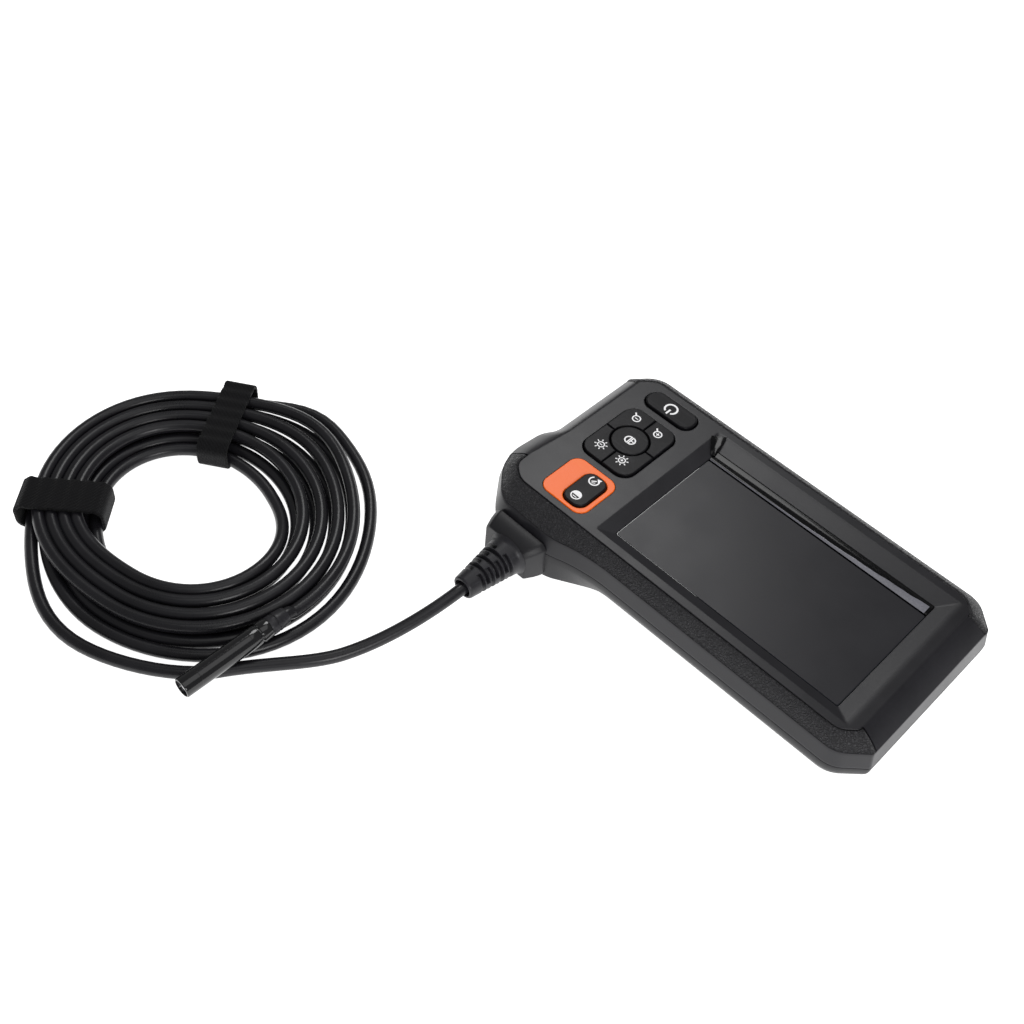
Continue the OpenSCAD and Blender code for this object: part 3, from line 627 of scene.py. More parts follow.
def grip(name, corners, node):
    """Leather strip filling the channel between the top and the shoulder."""
    spacing = 0.55
    end_radius = 0.9
    base = rounded(SHOULDER, corners)
    lengths = np.linalg.norm(np.diff(base, axis=0), axis=1)
    counts = np.maximum(1, np.ceil(lengths / spacing)).astype(int)

    def dense(outline):
        path = rounded(outline, corners)
        points = [path[j] + (path[j + 1] - path[j]) * t / count
                  for j, count in enumerate(counts) for t in range(count)]
        return np.array(points + [path[-1]])

    # from inside the channel's upper edge, over the strip, to inside its lower edge
    stations = [(inset(TOP, 0.9), 28.5), (inset(TOP, -0.22), 28.6),
                (inset(TOP, -0.22), 29.45), (inset(TOP, -0.28), 29.62)]
    for z in (29.6, 29.4, 29.1, 28.7, 28.25, 27.8, 27.3, 26.8, 26.3, 25.8, 25.35, 24.95):
        swell = 0.25 * math.sin(math.pi * (TOP_Z - z) / (TOP_Z - SHOULDER_Z))
        stations.append((inset(level(z), -swell), z))
    stations += [(inset(level(24.6), -0.08), 24.6), (SHOULDER, 24.32),
                 (inset(SHOULDER, 0.2), 24.17), (inset(SHOULDER, 1.2), 24.15)]
    grid = np.array([at_height(dense(outline), z) for outline, z in stations])

    # sink the surface along its normals to round the two ends
    row_count, column_count = grid.shape[:2]
    middle_row = 8
    normals = np.cross(np.gradient(grid, axis=1), np.gradient(grid, axis=0))
    normals /= np.linalg.norm(normals, axis=2)[:, :, None] + 1e-12
    if normals[middle_row, column_count // 2, 2] < 0:
        normals = -normals
    spans = np.linalg.norm(np.diff(grid[middle_row], axis=0), axis=1)
    arc = np.concatenate([[0], np.cumsum(spans)])
    to_end = np.minimum(arc, arc[-1] - arc)
    curve = np.sqrt(np.maximum(0, end_radius ** 2 - (end_radius - to_end) ** 2))
    drop = np.where(to_end < end_radius, end_radius - curve, 0)
    weight = np.zeros(row_count)
    weight[3:-2] = 1
    grid = grid - normals * (drop[None, :] * weight[:, None])[:, :, None]

    strip = MeshBuilder()
    ids = strip.loft(list(grid), closed=False)
    for j in (0, column_count - 1):
        loop = [row[j] for row in ids]
        centre = strip.add([np.mean([strip.verts[i] for i in loop], axis=0)])[0]
        for p, q in zip(loop, loop[1:] + loop[:1]):
            strip.faces.append((p, q, centre) if j else (q, p, centre))
    strip.make(name, GRIP_LEATHER, "pad", "grip", [node], sharp_angle=50)


# ------------------------------------------------------------------ keys
KEY_TOP = 31.2
KEY_FOOT = 27.3
CENTRE_KEY_RADIUS = 8.2


def slab(name, outline, z0, z1, fillet, body, node, material=KEY_RUBBER, slot="keys",
         holes=()):
    """A flat-topped block with a filleted upper edge and filleted holes, open below."""
    block = MeshBuilder()
    steps = [(0, z0), (0, z1 - fillet)]
    steps += [(fillet - fillet * math.cos(a), z1 - fillet + fillet * math.sin(a))
              for a in np.radians(FILLET_ANGLES)]
    steps += [(fillet + 0.2, z1)]
    loops = [block.loft(inset_rings(outline, steps))[-1]]
    for hole in holes:
        steps = hole_steps(z1, z0, fillet, lip=0.2, angles=(30, 60, 90))
        loops.append(block.loft(inset_rings(hole, steps))[0])
    block.fill(loops)
    block.make(name, material, body, slot, [node])


def quarter(side_x, side_y):
    """One quarter of the keypad, cut out round the centre key; sides are -1 or 1."""
    half_gap, cutout, corner = 0.24, 8.75, 6
    centre_x, centre_y = KEYPAD_CENTRE
    width = abs((KEYPAD[2] if side_x > 0 else KEYPAD[0]) - centre_x)
    height = abs((KEYPAD[3] if side_y > 0 else KEYPAD[1]) - centre_y)
    reach = math.sqrt(cutout * cutout - half_gap * half_gap)
    points = [(reach, half_gap), (width, half_gap)]
    for j in range(13):
        t = math.radians(90 * j / 12)
        points.append((width - corner + corner * math.cos(t),
                       height - corner + corner * math.sin(t)))
    points += [(half_gap, height), (half_gap, reach)]
    start, end = math.acos(half_gap / cutout), math.asin(half_gap / cutout)
    for j in range(1, 16):
        t = start + (end - start) * j / 16
        points.append((cutout * math.cos(t), cutout * math.sin(t)))
    outline = np.array([(centre_x + side_x * x, centre_y + side_y * y) for x, y in points])
    return outline[::-1] if side_x * side_y < 0 else outline


def keys():
    slab("power_key_cap", rounded_rect(POWER_KEY, 5, steps=12), KEY_FOOT, KEY_TOP,
         fillet=0.7, body="power_button", node="power_key")
    for side_x, side_y, key in ((-1, 1, "zoom_out"), (1, 1, "zoom_in"),
                                (-1, -1, "light_down"), (1, -1, "light_up")):
        slab(key + "_cap", quarter(side_x, side_y), KEY_FOOT, KEY_TOP, fillet=0.45,
             body=key + "_button", node=key + "_key")
    slab("camera_switch_cap", circle(*KEYPAD_CENTRE, CENTRE_KEY_RADIUS, count=96), 27.0,
         KEY_TOP, fillet=0.5, body="camera_switch_button", node="camera_switch_key")
    slab("flip_cap", rounded_rect(ROCKER, 4.2, steps=12), KEY_FOOT, KEY_TOP, fillet=0.55,
         body="flip_button", node="flip_rocker")
    slab("accent_plate_skin", rounded_rect(ACCENT_PLATE, 5, steps=12), 29.1, 30.28,
         fillet=0.3, body="pad", node="accent_plate", material=ORANGE, slot="accent",
         holes=[rounded_rect(ROCKER, 4.6, steps=12, grow=KEY_GAP)])


# ------------------------------------------------------------------ printed icons


class Icon(MeshBuilder):
    """Flat marks on a key; u runs to the user's right (-X), v runs up (-Y)."""

    SCALE = 1.13   # mm per icon unit

    def __init__(self, x, y):
        super().__init__()
        self.x = x
        self.y = y

    def polygon(self, points):
        outline = [(self.x - u * self.SCALE, self.y - v * self.SCALE) for u, v in points]
        following = outline[1:] + outline[:1]
        if sum(p[0] * q[1] - q[0] * p[1] for p, q in zip(outline, following)) < 0:
            outline = outline[::-1]
        ids = self.loft([[(x, y, z) for x, y in outline]
                         for z in (KEY_TOP - 0.03, KEY_TOP + 0.035)])
        self.faces.append(tuple(ids[1]))

    def bar(self, u0, v0, u1, v1, width):
        start, end = np.array([u0, v0], float), np.array([u1, v1], float)
        along = (end - start) / np.linalg.norm(end - start)
        side = np.array([-along[1], along[0]]) * width / 2
        self.polygon([start - side, end - side, end + side, start + side])

    def arc(self, u, v, radius, width, start=0, end=360):
        count = int(40 * (end - start) / 360)
        angles = np.radians(np.linspace(start, end, count + 1))
        inner, outer = radius - width / 2, radius + width / 2
        for a, b in zip(angles, angles[1:]):
            self.polygon([(u + r * math.cos(t), v + r * math.sin(t))
                          for r, t in ((inner, a), (outer, a), (outer, b), (inner, b))])

    def lower_half_disc(self, radius):
        angles = np.radians(np.linspace(180, 360, 29))
        self.polygon([(radius * math.cos(t), radius * math.sin(t)) for t in angles])

    def print_on(self, name, body):
        self.make("icon_" + name, WHITE_PRINT, body, "keys", sharp_angle=None)


def magnifier_icon(name, x, y, plus):
    icon = Icon(x, y)
    icon.arc(0, 0.2, 1.55, 0.5)
    icon.bar(1.15, -0.95, 2.2, -2.1, 0.62)
    icon.bar(-0.75, 0.2, 0.75, 0.2, 0.42)
    if plus:
        icon.bar(0, -0.55, 0, 0.95, 0.42)
    icon.print_on(name, name + "_button")


def lamp_icon(name, x, y, plus):
    icon = Icon(x, y)
    icon.arc(0, 0, 1.3, 0.42)
    for k in range(8):
        u, v = (f(math.radians(45 * k + 22.5)) for f in (math.cos, math.sin))
        icon.bar(1.8 * u, 1.8 * v, 2.6 * u, 2.6 * v, 0.42)
    icon.bar(-0.6, 0, 0.6, 0, 0.36)
    if plus:
        icon.bar(0, -0.6, 0, 0.6, 0.36)
    icon.print_on(name, name + "_button")


def split_ring_icon():
    icon = Icon(-64.5, 6.1)
    icon.arc(-0.35, 0, 1.75, 0.55, 100, 260)
    icon.arc(0.35, 0, 1.75, 0.55, -80, 80)
    icon.bar(-0.35, -2.0, -0.35, 2.0, 0.5)
    icon.bar(0.35, -2.0, 0.35, 2.0, 0.5)
    icon.bar(-1.7, 0.0, -0.5, 0.0, 0.45)
    icon.print_on("camera_switch", "camera_switch_button")


def rotate_icon():
    icon = Icon(-59.2, -22.6)
    icon.arc(0, 0, 1.95, 0.55, -50, 235)
    icon.polygon([(-2.1, -2.2), (-0.2, -1.7), (-1.5, -0.4)])
    icon.bar(-0.75, -0.6, 0.75, 0.7, 0.5)
    icon.bar(-0.9, 0.4, 0.2, 1.3, 0.35)
    icon.print_on("rotate", "flip_button")


def mirror_icon():
    icon = Icon(-59.2, -33.7)
    icon.arc(0, 0, 1.9, 0.5)
    icon.lower_half_disc(1.9)
    icon.bar(-0.9, 0.85, 0.9, 0.85, 0.35)
    icon.print_on("mirror", "flip_button")


def power_icon():
    icon = Icon(-64.6, 33.6)
    icon.arc(0, 0, 2.5, 0.75, 120, 420)
    icon.bar(0, 0.4, 0, 3.2, 0.75)
    icon.print_on("power", "power_button")


def icons():
    magnifier_icon("zoom_out", -71.1, 18.1, plus=False)
    magnifier_icon("zoom_in", -58.7, 17.8, plus=True)
    lamp_icon("light_down", -71.3, -5.0, plus=False)
    lamp_icon("light_up", -59.2, -5.2, plus=True)
    split_ring_icon()
    rotate_icon()
    mirror_icon()
    power_icon()


# ------------------------------------------------------------------ screen
GLASS_X, GLASS_Y = WINDOW[0] + 0.25, WINDOW[1] + 0.25   # -X, -Y corner
GLASS_LENGTH = 110


def screen_film():
    box = (GLASS_X + 0.2, GLASS_Y + 0.2, GLASS_X + GLASS_LENGTH - 0.2, GLASS_Y + 59.4)
    slab("screen_film_sheet", rounded_rect(box, 0.8, steps=6), 28.3, 28.45, fillet=0.02,
         body="pad", node="screen_film", material=FILM_PLASTIC, slot="film")


def screen_trim():
    """Glossy strip along the window's +Y edge."""
    # y, z
    profile = [(25.4, 26.5), (25.4, 28.55), (25.7, 28.75), (26.6, 28.8), (28, 28.7),
               (29.5, 28.75), (30.4, 29.0), (30.9, 29.05), (31.2, 28.9), (31.3, 28.5),
               (31.3, 26.5)]
    strip = MeshBuilder()
    xs = np.linspace(GLASS_X, GLASS_X + GLASS_LENGTH, 40)
    strip.end_faces(strip.loft([[(x, y, z) for y, z in profile] for x in xs], flip=True))
    strip.make("screen_trim_strip", GLOSS_BLACK, "pad", "trim", ["screen_trim"],
               sharp_angle=40)


def sheet(name, rows, thickness, material, flip):
    """A thin sheet: a grid of points, a copy below it and a rim joining them."""
    grid = MeshBuilder()
    grid.loft(rows, closed=False, flip=flip)
    m, n = len(rows), len(rows[0])
    below = grid.add([(x, y, z - thickness) for row in rows for x, y, z in row])[0]
    for i in range(m - 1):
        for j in range(n - 1):
            a = below + i * n + j
            others = (a + 1, a + n + 1, a + n)
            grid.faces.append((a, *(others if flip else others[::-1])))
    rim = [i * n for i in range(m)]
    rim += [(m - 1) * n + j for j in range(1, n)]
    rim += [i * n + n - 1 for i in range(m - 2, -1, -1)]
    rim += list(range(n - 2, 0, -1))
    for p, q in zip(rim, rim[1:] + rim[:1]):
        if not flip:
            p, q = q, p
        grid.faces.append((p, q, below + q, below + p))
    grid.make(name, material, "pad", "film", sharp_angle=50)


def film_curl():
    """The film's +Y edge lifts off in a wedge that widens towards +X."""
    start, length = -35.4, 108.6
    rows = []
    for x in np.linspace(start, start + length, 90):
        t = (x - start) / length
        width = 0.3 + 3.7 * t ** 2.5
        width += (0.03 + 0.1 * t) * (math.sin(x * 0.37) + 0.7 * math.sin(x * 0.83 + 1))
        lift = 0.42 * (0.5 + 0.7 * t)
        rows.append([(x, 25.25 + u * width, 28.86 + lift * math.sin(u * 1.35))
                     for u in (0, 0.2, 0.4, 0.6, 0.8, 0.93, 1.0)])
    # the sheet gets the pale grey painted highlight
    sheet("film_curl", rows, thickness=0.09, material=CURL_FILM_HIGHLIGHT, flip=True)


def film_tab():
    """Bowed tab reaching towards +Y from the -X end of the film's curled edge."""
    left_root, left_tip = np.array([-36.9, 27.6, 28.9]), np.array([-43.0, 35.2, 30.25])
    right_root, right_tip = np.array([-35.0, 27.9, 28.9]), np.array([-37.6, 39.4, 30.35])
    rows = []
    for s in np.linspace(0, 1, 14):
        left = left_root + (left_tip - left_root) * s
        right = right_root + (right_tip - right_root) * s
        bow = 0.9 * math.sin(math.pi * s)
        rows.append([left + (right - left) * u
                     + np.array([0, 0, bow * (0.4 + 1.6 * (u - 0.5) ** 2) + 0.35])
                     for u in np.linspace(0, 1, 9)])
    sheet("film_tab", rows, thickness=0.12, material=GLOSS_BLACK, flip=False)


# ------------------------------------------------------------------ port cover, screws


def port_cover():
    """Flap over the sockets in the -X side, with a finger lip."""
    flap = MeshBuilder()
    # x, z
    profile = [(-91.6, 4.25), (-91.5, 4.7), (-92.1, 5.9), (-92.75, 7.3), (-92.75, 14.05),
               (-92.85, 14.15), (-94.2, 14.15), (-94.38, 14.0), (-94.38, 13.0), (-94.3, 12),
               (-93.95, 10.4), (-93.35, 8.3), (-92.95, 7.0), (-92.5, 5.2), (-92.15, 4.15)]
    centre_x, centre_z = -93.2, 9.4
    y_start, y_end = -6.0, 22.0
    rows = []
    for y in [y_start, -5.9, -5.6, *np.linspace(-5, 21, 27), 21.6, 21.9, y_end]:
        to_end = min(y - y_start, y_end - y)
        scale = 1 - 0.04 * max(0, 1 - to_end / 0.4)
        rows.append([(centre_x + (x - centre_x) * scale, y, centre_z + (z - centre_z) * scale)
                     for x, z in profile])
    flap.end_faces(flap.loft(rows), flip=True)
    lip = rounded_rect((3.5, -94.9, 12.5, -94.2), 0.3, steps=3)   # y, x
    flap.end_faces(flap.loft([[(x, y, z) for y, x in lip] for z in (12.4, 12.6, 13.5, 13.7)],
                             flip=True))
    flap.make("port_cover_flap", BOOT_RUBBER, "cover_flap", "boot", ["port_cover"])


def screws():
    """Domed heads with hexagonal sockets, facing -Z in the rear shell's wells."""
    heads = MeshBuilder()
    sides = 48
    half_flats = 1.15
    for x, y in SCREWS:
        profile = ((2.75, 3.2), (2.75, 2.35), (2.55, 2.0), (2.1, 1.72), (1.5, 1.6))
        dome = heads.loft([at_height(circle(x, y, r, sides), z) for r, z in profile])
        hexagon = []
        for k in range(sides):
            a = 2 * math.pi * k / sides
            r = half_flats / math.cos((a % (math.pi / 3)) - math.pi / 6)
            hexagon.append((x + r * math.cos(a), y + r * math.sin(a)))
        socket = heads.loft([at_height(hexagon, 1.6), at_height(hexagon, 2.9)], cap_last=True)
        heads.bridge(dome[-1], socket[0])
    heads.make("screw_heads", DARK_STEEL, "pad", "screw", ["case_screws"], sharp_angle=35)


# ------------------------------------------------------------------ plug block and boot
BOOT_X, BOOT_Y, BOOT_Z = -67.0, -63.7, 10.5   # middle of the boot's root
BOOT_LENGTH = 26.2


def plug_block():
    """Chamfered block on the pad's -Y side."""
    block = MeshBuilder()
    foot = 0.6   # chamfer of the lower edges
    # y, x0, x1, z0, z1, chamfer of the upper edges
    sections = [
        (-55.2, -82.6, -53.9, 1.4, 20.1, 2.3), (-56.6, -82.4, -54.1, 1.5, 20.0, 2.3),
        (-57.2, -82.3, -54.3, 1.5, 19.95, 2.3), (-59.5, -81.8, -55.2, 1.6, 19.5, 2.2),
        (-61.8, -81.1, -56.4, 1.75, 18.7, 2.1), (-63.0, -80.7, -57.0, 1.85, 18.2, 2.0),
        (-63.45, -80.45, -57.3, 2.0, 17.95, 1.95), (-63.66, -80.1, -57.7, 2.35, 17.6, 1.8),
        (BOOT_Y, -79.6, -58.2, 2.9, 17.1, 1.6)]
    rows = []
    for y, x0, x1, z0, z1, chamfer in sections:
        outline = np.array([
            (x0 + foot, z0), (x1 - foot, z0), (x1, z0 + foot), (x1, z1 - chamfer),
            (x1 - chamfer, z1), (x0 + chamfer, z1), (x0, z1 - chamfer), (x0, z0 + foot)])
        rows.append([(x, y, z) for i in range(len(outline))
                     for x, z in round_corner(outline, i, radius=0.8, steps=4)])
    block.faces.append(tuple(block.loft(rows, flip=True)[-1]))
    # the end face comes before nothing else; the root stays open inside the shell
    block.make("plug_block_skin", PLUG_PLASTIC, "pad", "plug", ["plug_block"],
               sharp_angle=24)


def strain_relief():
    """Tapering boot with two staggered sets of grooves, each cut from opposite sides."""
    rings, sides = 230, 300
    flare_length, tip_length = 2.2, 0.9
    groove_pitch, groove_depth = 4.6, 2.1
    # start along the boot, length, middle in degrees
    grooves = [(5.0 + groove_pitch * i, 2.0, middle) for i in range(4) for middle in (175, 355)]
    grooves += [(7.3 + groove_pitch * i, 1.8, middle) for i in range(3) for middle in (87, 267)]
    degrees = np.degrees(np.arange(sides) * 2 * math.pi / sides)

    def step(x, start, end):
        return ease(np.clip((x - start) / (end - start), 0, 1))

    rows = []
    for t in np.linspace(0, BOOT_LENGTH, rings):
        radius = (9.0 - 3.8 * t / BOOT_LENGTH) * np.ones(sides)
        if t < flare_length:
            radius += 0.9 * (1 - t / flare_length) ** 2
        for start, length, middle in grooves:
            end = start + length
            inside = 1 - step(np.abs((degrees - middle + 180) % 360 - 180), 71, 75)
            along = step(t, start, start + 0.25) * (1 - step(t, end - 0.25, end))
            radius = radius - groove_depth * inside * along
        if t > BOOT_LENGTH - tip_length:
            e = (t - (BOOT_LENGTH - tip_length)) / tip_length
            radius = radius - 0.7 * (1 - np.sqrt(np.maximum(0, 1 - e * e)))
        rows.append(y_ring(BOOT_X, BOOT_Y - t, BOOT_Z, radius, sides))
    # bore: radius, depth from the tip
    for radius, depth in ((4.1, 0), (3.7, 1.2), (3.2, 5), (2.9, 8)):
        rows.append(y_ring(BOOT_X, BOOT_Y - BOOT_LENGTH + depth, BOOT_Z, radius, sides))
    boot = MeshBuilder()
    boot.loft(rows)
    made = boot.make("strain_relief_skin", BOOT_RUBBER, None, "boot",
                     ["strain_relief_boot"], sharp_angle=40)
    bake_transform(made)


# ------------------------------------------------------------------ cable
CABLE_RADIUS = 2.7
COIL_X, COIL_Y = -174.3, -146.5
COIL_RADIUS = 38.0
TIE_ALLOWANCE = 1.5   # room for the ties below the coil
LOWER_Z = TIE_ALLOWANCE + CABLE_RADIUS + 0.25
UPPER_Z = LOWER_Z + 2 * CABLE_RADIUS + 0.1
# Degrees wound: the lower layer spirals in, the cable climbs, the upper layer spirals out
CLIMB_START, CLIMB_END, COIL_END = 2060, 2130, 3570
CABLE_START_Y = BOOT_Y - BOOT_LENGTH + 8
# Outward bulges of single turns: height, degrees wound, spread in degrees
BULGES = [(2, 0, 30), (5, 50, 28), (6, 232, 16), (4, 258, 26), (1.8, 330, 30),
          (3, 604, 26), (2, 3122, 26), (4.5, 3478, 24)]


def bearing(wound):
    """Direction from the coil's middle, in radians, after winding clockwise."""
    return math.radians(-30 - wound)


def looseness(wound):
    return 0.5 + 0.5 * math.cos(bearing(wound) - math.radians(40))


def climb(wound):
    return ease(min(1, max(0, (wound - CLIMB_START) / (CLIMB_END - CLIMB_START))))


def inner_radius(wound):
    angle = bearing(wound)
    return (COIL_RADIUS + 0.2 + 0.6 * math.cos(angle - math.radians(45))
            + 3.2 * math.cos(2 * angle))


def turn_pitch(wound):
    angle = bearing(wound)
    squeeze = max(0, math.cos(angle - math.radians(124))) ** 8
    return 6.22 + 1.2 * math.cos(angle - math.radians(70)) - 0.5 * squeeze


def turns_stepped(wound):
    """Turns completed, with each step taken in the first fifth of a turn."""
    if wound < 40:
        return 0
    turns = (wound - 40) / 360
    whole = math.floor(turns)
    return whole + ease(min(1, (turns - whole) * 5))


def turn_place(wound):
    """Place of the strand across the coil, in pitches from the inner radius."""
    stepped = turns_stepped(wound)
    if wound < CLIMB_END:
        return 6 - stepped + 0.5 * climb(wound)
    return stepped - 5.5 - 0.2 * looseness(wound) * min(1, max(0, stepped - 6))


def coil_point(wound):
    radius = inner_radius(wound) + turn_place(wound) * turn_pitch(wound)
    radius += 0.7 * looseness(wound) * math.sin(math.radians(0.8 * wound))
    radius += sum(height * math.exp(-((wound - middle) / spread) ** 2)
                  for height, middle, spread in BULGES)
    angle = bearing(wound)
    return np.array([COIL_X + radius * math.cos(angle), COIL_Y + radius * math.sin(angle),
                     LOWER_Z + (UPPER_Z - LOWER_Z) * climb(wound)])


def bezier(*controls):
    """24 points of a cubic curve, without its last point."""
    a, b, c, d = (np.array(point, float) for point in controls)
    return [(1 - t) ** 3 * a + 3 * (1 - t) ** 2 * t * b + 3 * (1 - t) * t * t * c + t ** 3 * d
            for t in np.linspace(0, 1, 24, endpoint=False)]


COIL_LAST = coil_point(COIL_END)
PROBE_RADIUS, PROBE_LENGTH = 4.25, 41.0
PROBE_X, PROBE_Y = COIL_LAST[0], -157.5
PROBE_Z = LOWER_Z + CABLE_RADIUS + PROBE_RADIUS + 0.15


def cable_path():
    first = coil_point(0)
    heading = np.array([math.sin(bearing(0)), -math.cos(bearing(0)), 0])
    landing = [-79, -144, LOWER_Z]
    probe_root = PROBE_Y + 7.6
    path = [np.array([BOOT_X, CABLE_START_Y, BOOT_Z]),
            np.array([BOOT_X, CABLE_START_Y - 4, BOOT_Z])]
    path += bezier([BOOT_X, CABLE_START_Y - 9.8, BOOT_Z], [-68, -107, 8.4],
                   [-72, -127, LOWER_Z], landing)
    path += bezier(landing, [-84.6, -156.8, LOWER_Z], first - 20 * heading, first)
    path += [coil_point(wound) for wound in np.arange(0, COIL_END - 0.1, 4)]
    path += [COIL_LAST]
    x, y, z = COIL_LAST
    path += [np.array([x, y + (probe_root - y) * t, z + (PROBE_Z - z) * ease(t)])
             for t in (0.25, 0.5, 0.75)]
    path += [np.array([x, probe_root, PROBE_Z]), np.array([x, PROBE_Y - 4, PROBE_Z])]
    return np.array(path)


def cable():
    path = cable_path()
    headings = np.gradient(path, axis=0)
    headings /= np.linalg.norm(headings, axis=1)[:, None]
    angles = np.arange(20) * 2 * math.pi / 20
    rings = []
    for point, heading in zip(path, headings):
        side = np.cross(heading, (0, 0, 1))
        side /= np.linalg.norm(side)
        over = np.cross(side, heading)
        rings.append([point + CABLE_RADIUS * (math.cos(a) * over + math.sin(a) * side)
                      for a in angles])
    tube = MeshBuilder()
    tube.loft(rings, flip=True)
    tube.make("cable_run_tube", CABLE_JACKET, "cable_run", "cable", ["cable"], sharp_angle=60)


# ------------------------------------------------------------------ probe

# Profiles: radius, distance towards -Y from the profile's start
BARREL = [
    (2.8, 0.15), (3.7, 0), (4.0, 0.05), (4.18, 0.2), (4.25, 0.45), (4.25, 4.3),
    (4.2, 4.42), (3.95, 4.6), (3.9, 4.75), (3.9, 5.25), (3.95, 5.4), (4.2, 5.58),
    (4.25, 5.7), (4.25, 9.2), (4.2, 9.27), (4.2, 9.4), (4.25, 9.47), (4.25, 33.4),
    (4.2, 33.48), (4.2, 33.62), (4.25, 33.7), (4.25, 40.4), (4.2, 40.7), (4.05, 40.92),
    (3.8, 41.0), (3.6, 41.0), (3.5, 40.9), (3.45, 40.6), (3.45, 38.6), (0.01, 38.6)]
COLLAR = [
    (2.75, 0.25), (3.0, 0.0), (3.3, 0.05), (3.45, 0.3), (3.9, 3.9), (4.0, 4.3), (4.0, 5.0),
    (3.75, 5.25), (3.75, 5.6), (4.0, 5.85), (4.0, 8.0), (3.85, 8.5), (3.2, 8.6)]
LENS_WINDOW = [(0.001, 0.86), (1.2, 0.9), (3.2, 0.9), (3.42, 0.8), (3.42, 0.0)]


def revolve(name, profile, start_y, material, slot, node, sides):
    part = MeshBuilder()
    part.loft([y_ring(PROBE_X, start_y - t, PROBE_Z, r, sides) for r, t in profile])
    part.make(name, material, "cable_run", slot, [node], sharp_angle=30)


def probe():
    barrel_y = PROBE_Y - 1.6
    revolve("probe_barrel", BARREL, barrel_y, PROBE_BLACK, "probe", "probe_tube", sides=96)
    revolve("probe_collar", COLLAR, PROBE_Y + 7, BOOT_RUBBER, "boot", "probe_neck", sides=72)
    revolve("probe_window", LENS_WINDOW, barrel_y - PROBE_LENGTH + 1.7, LENS_GLASS, "optic",
            "lens_window", sides=64)


# ------------------------------------------------------------------ ties


def tie(name, bearing_degrees, inner, outer, width, node, seed):
    """A woven band round the coil's strands, from inner to outer radius."""
    generator = np.random.default_rng(seed)
    thickness = 1.35
    top = UPPER_Z + CABLE_RADIUS + 0.2
    # section across the strands: radius from the coil's middle, z
    corners = rounded_rect((inner - 0.05, 0.1, outer + 0.05, top + thickness), 4.6, steps=10)
    section = []
    for a, b in zip(corners, np.roll(corners, -1, 0)):
        count = max(1, int(np.linalg.norm(b - a) / 0.5))
        section += [a + (b - a) * j / count for j in range(count)]
    section = np.array(section)
    spans = np.linalg.norm(np.diff(section, axis=0), axis=1)
    arc = np.concatenate([[0], np.cumsum(spans)])
    along = np.roll(section, -1, 0) - np.roll(section, 1, 0)
    inward = np.stack([-along[:, 1], along[:, 0]], 1)
    inward /= np.linalg.norm(inward, axis=1)[:, None]
    # soft waves over the top face
    waved = section.copy()
    waved[:, 1] += 0.28 * np.sin(section[:, 0] * 1.05 + seed) * (section[:, 1] > top)
    turn = Matrix.Rotation(math.radians(bearing_degrees), 3, "Z")

    def place(radius, across, z):
        spot = turn @ Vector((radius, across, 0))
        return (COIL_X + spot.x, COIL_Y + spot.y, max(0.03, z))

    half = width / 2
    stations = np.concatenate([[-half, -half + 0.15], np.linspace(-half + 0.5, half - 0.5, 24),
                               [half - 0.15, half]])
    edge_insets = [0.35, 0.12] + [0.0] * 24 + [0.12, 0.35]
    rows, uvs = [], []
    for across, depth in zip(stations, edge_insets):
        # only the two outermost rows fray
        fray = 0.12 * generator.standard_normal(len(waved)) * (abs(across) > half - 0.01)
        rows.append([place(p[0] + n[0] * depth, across + f, p[1] + n[1] * depth)
                     for p, n, f in zip(waved, inward, fray)])
        uvs += [(s, across) for s in arc]
    for across in stations[::-1]:
        rows.append([place(p[0] + n[0] * thickness, across, p[1] + n[1] * thickness)
                     for p, n in zip(waved, inward)])
        uvs += [(s, across) for s in arc]
    rows.append(rows[0])
    uvs += [(s, stations[0]) for s in arc]
    band = MeshBuilder()
    band.loft(rows)
    band.make(name, WOVEN_TIE, "cable_run", "tie", [node], sharp_angle=60, uv=uvs)


# ------------------------------------------------------------------ inner pieces


def inner_pieces():
    """Pieces that keep their loaded shape and only get a material."""
    for node, material, slot in (
            ("display_glass", LENS_GLASS, "lens"), ("display_gasket", INNER_DARK, "gasket"),
            ("lcd_panel", DARK_STEEL, "lcd"), ("keypad_membrane", KEY_RUBBER, "membrane"),
            ("tact_switches", SOCKET_METAL, "switch"), ("key_board", BOARD_GREEN, "board"),
            ("main_board", BOARD_GREEN, "board"), ("battery_pack", BATTERY_WRAP, "battery"),
            ("charge_port", SOCKET_METAL, "socket"), ("card_slot", SOCKET_METAL, "socket"),
            ("cable_lead", CABLE_JACKET, "cable"), ("lead_connector", NYLON, "connector"),
            ("led_ring", LIGHT_RING, "leds"), ("camera_module", INNER_DARK, "module")):
        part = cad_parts[node]
        part.data.materials.clear()
        part.data.materials.append(material)


# ------------------------------------------------------------------ stage, in metres


def pale_floor():
    half, z = 12.0, -0.0002
    mesh = bpy.data.meshes.new("floor")
    mesh.from_pydata([(-half, -half, z), (half, -half, z), (half, half, z), (-half, half, z)],
                     [], [(0, 1, 2, 3)])
    floor = bpy.data.objects.new("floor", mesh)
    bpy.context.scene.collection.objects.link(floor)
    pale = NodeMaterial("floor_pale", textured=False)
    pale.glow((1, 1, 1), strength=0.95)
    mesh.materials.append(pale.finish((0.93, 0.93, 0.932), roughness=0.75, specular=0.1))


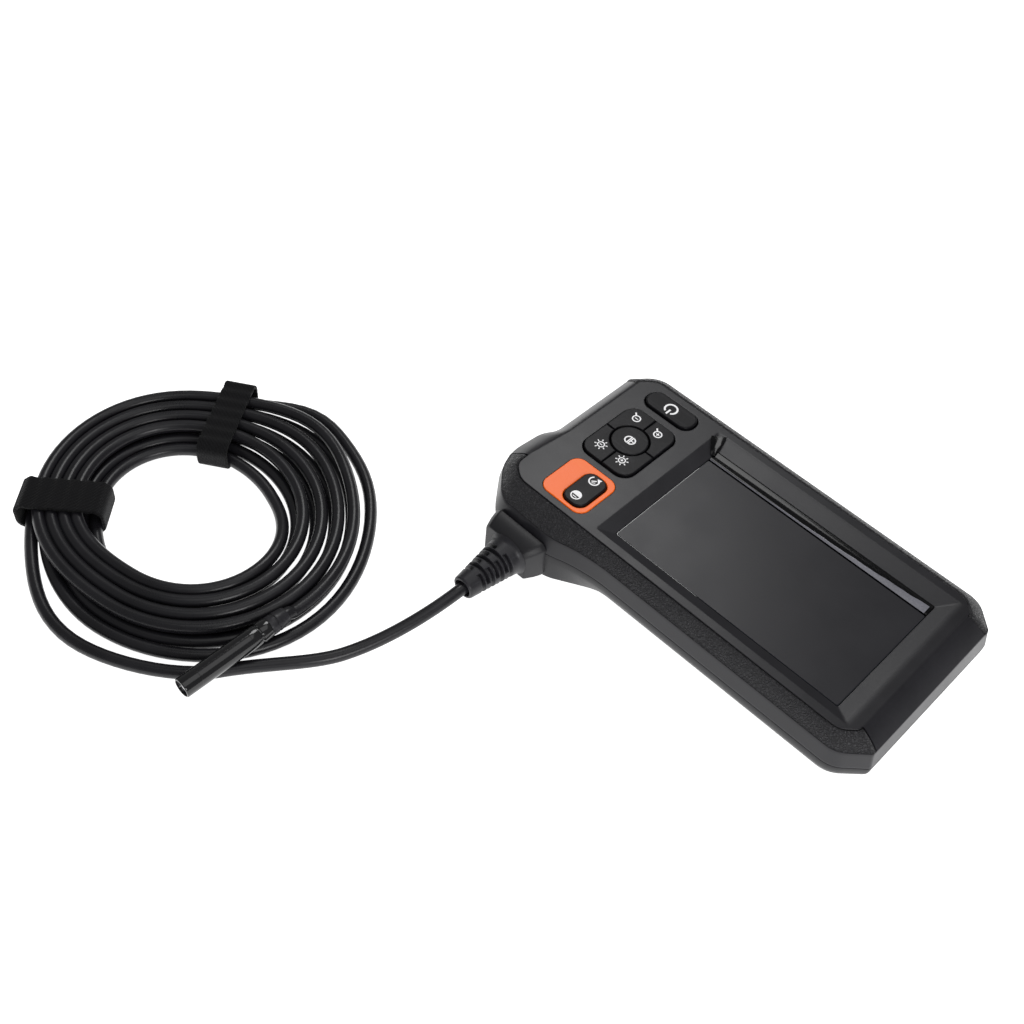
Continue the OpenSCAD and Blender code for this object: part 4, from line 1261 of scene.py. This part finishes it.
def area_light(name, location, target, size, power):
    light = bpy.data.lights.new(name, "AREA")
    light.energy = power
    light.size = size
    lamp = bpy.data.objects.new(name, light)
    bpy.context.scene.collection.objects.link(lamp)
    lamp.location = location
    direction = Vector(target) - Vector(location)
    lamp.rotation_euler = direction.to_track_quat("-Z", "Y").to_euler()


def studio_world():
    world = bpy.data.worlds.new("studio")
    world.use_nodes = True
    background = world.node_tree.nodes["Background"].inputs
    background["Color"].default_value = (1, 1, 1, 1)
    background["Strength"].default_value = 0.24
    bpy.context.scene.world = world
    bpy.context.scene.view_settings.view_transform = "Standard"


def camera():
    lens = bpy.data.cameras.new("camera")
    lens.lens = 45.7
    lens.sensor_width = 36
    lens.clip_start = 0.01
    viewer = bpy.data.objects.new("camera", lens)
    right = Vector((0.71, 0.7009, 0.0677)).normalized()
    backward = Vector((0.4112, -0.4907, 0.7682)).normalized()
    upward = backward.cross(right).normalized()
    right = upward.cross(backward).normalized()
    pose = Matrix((right, upward, backward)).transposed().to_4x4()
    pose.translation = Vector((0.1455, -0.31755, 0.4348))
    viewer.matrix_world = pose
    bpy.context.scene.collection.objects.link(viewer)
    bpy.context.scene.camera = viewer


# ------------------------------------------------------------------ build
front_shell()
rear_shell()
grip("near_grip_skin", NEAR_GRIP_CORNERS, "near_grip")
grip("far_grip_skin", FAR_GRIP_CORNERS, "far_grip")
keys()
icons()
screen_film()
screen_trim()
film_curl()
film_tab()
port_cover()
screws()
plug_block()
strain_relief()
cable()
probe()
tie("upper_tie_band", bearing_degrees=124, inner=31.5, outer=75.5, width=13.5,
    node="upper_tie", seed=1)
tie("left_tie_band", bearing_degrees=-138, inner=32.1, outer=69.5, width=16.5,
    node="left_tie", seed=2)
inner_pieces()

pale_floor()
area_light("key_light", location=(-0.55, 0.55, 1.1), target=(0, 0, 0), size=0.5, power=4.6)
area_light("top_light", location=(0.25, -0.1, 1.3), target=(-0.05, -0.05, 0), size=1.1,
           power=3.6)
area_light("side_light", location=(0.9, -0.5, 0.5), target=(0, 0, 0.02), size=0.4, power=4.2)
studio_world()
camera()
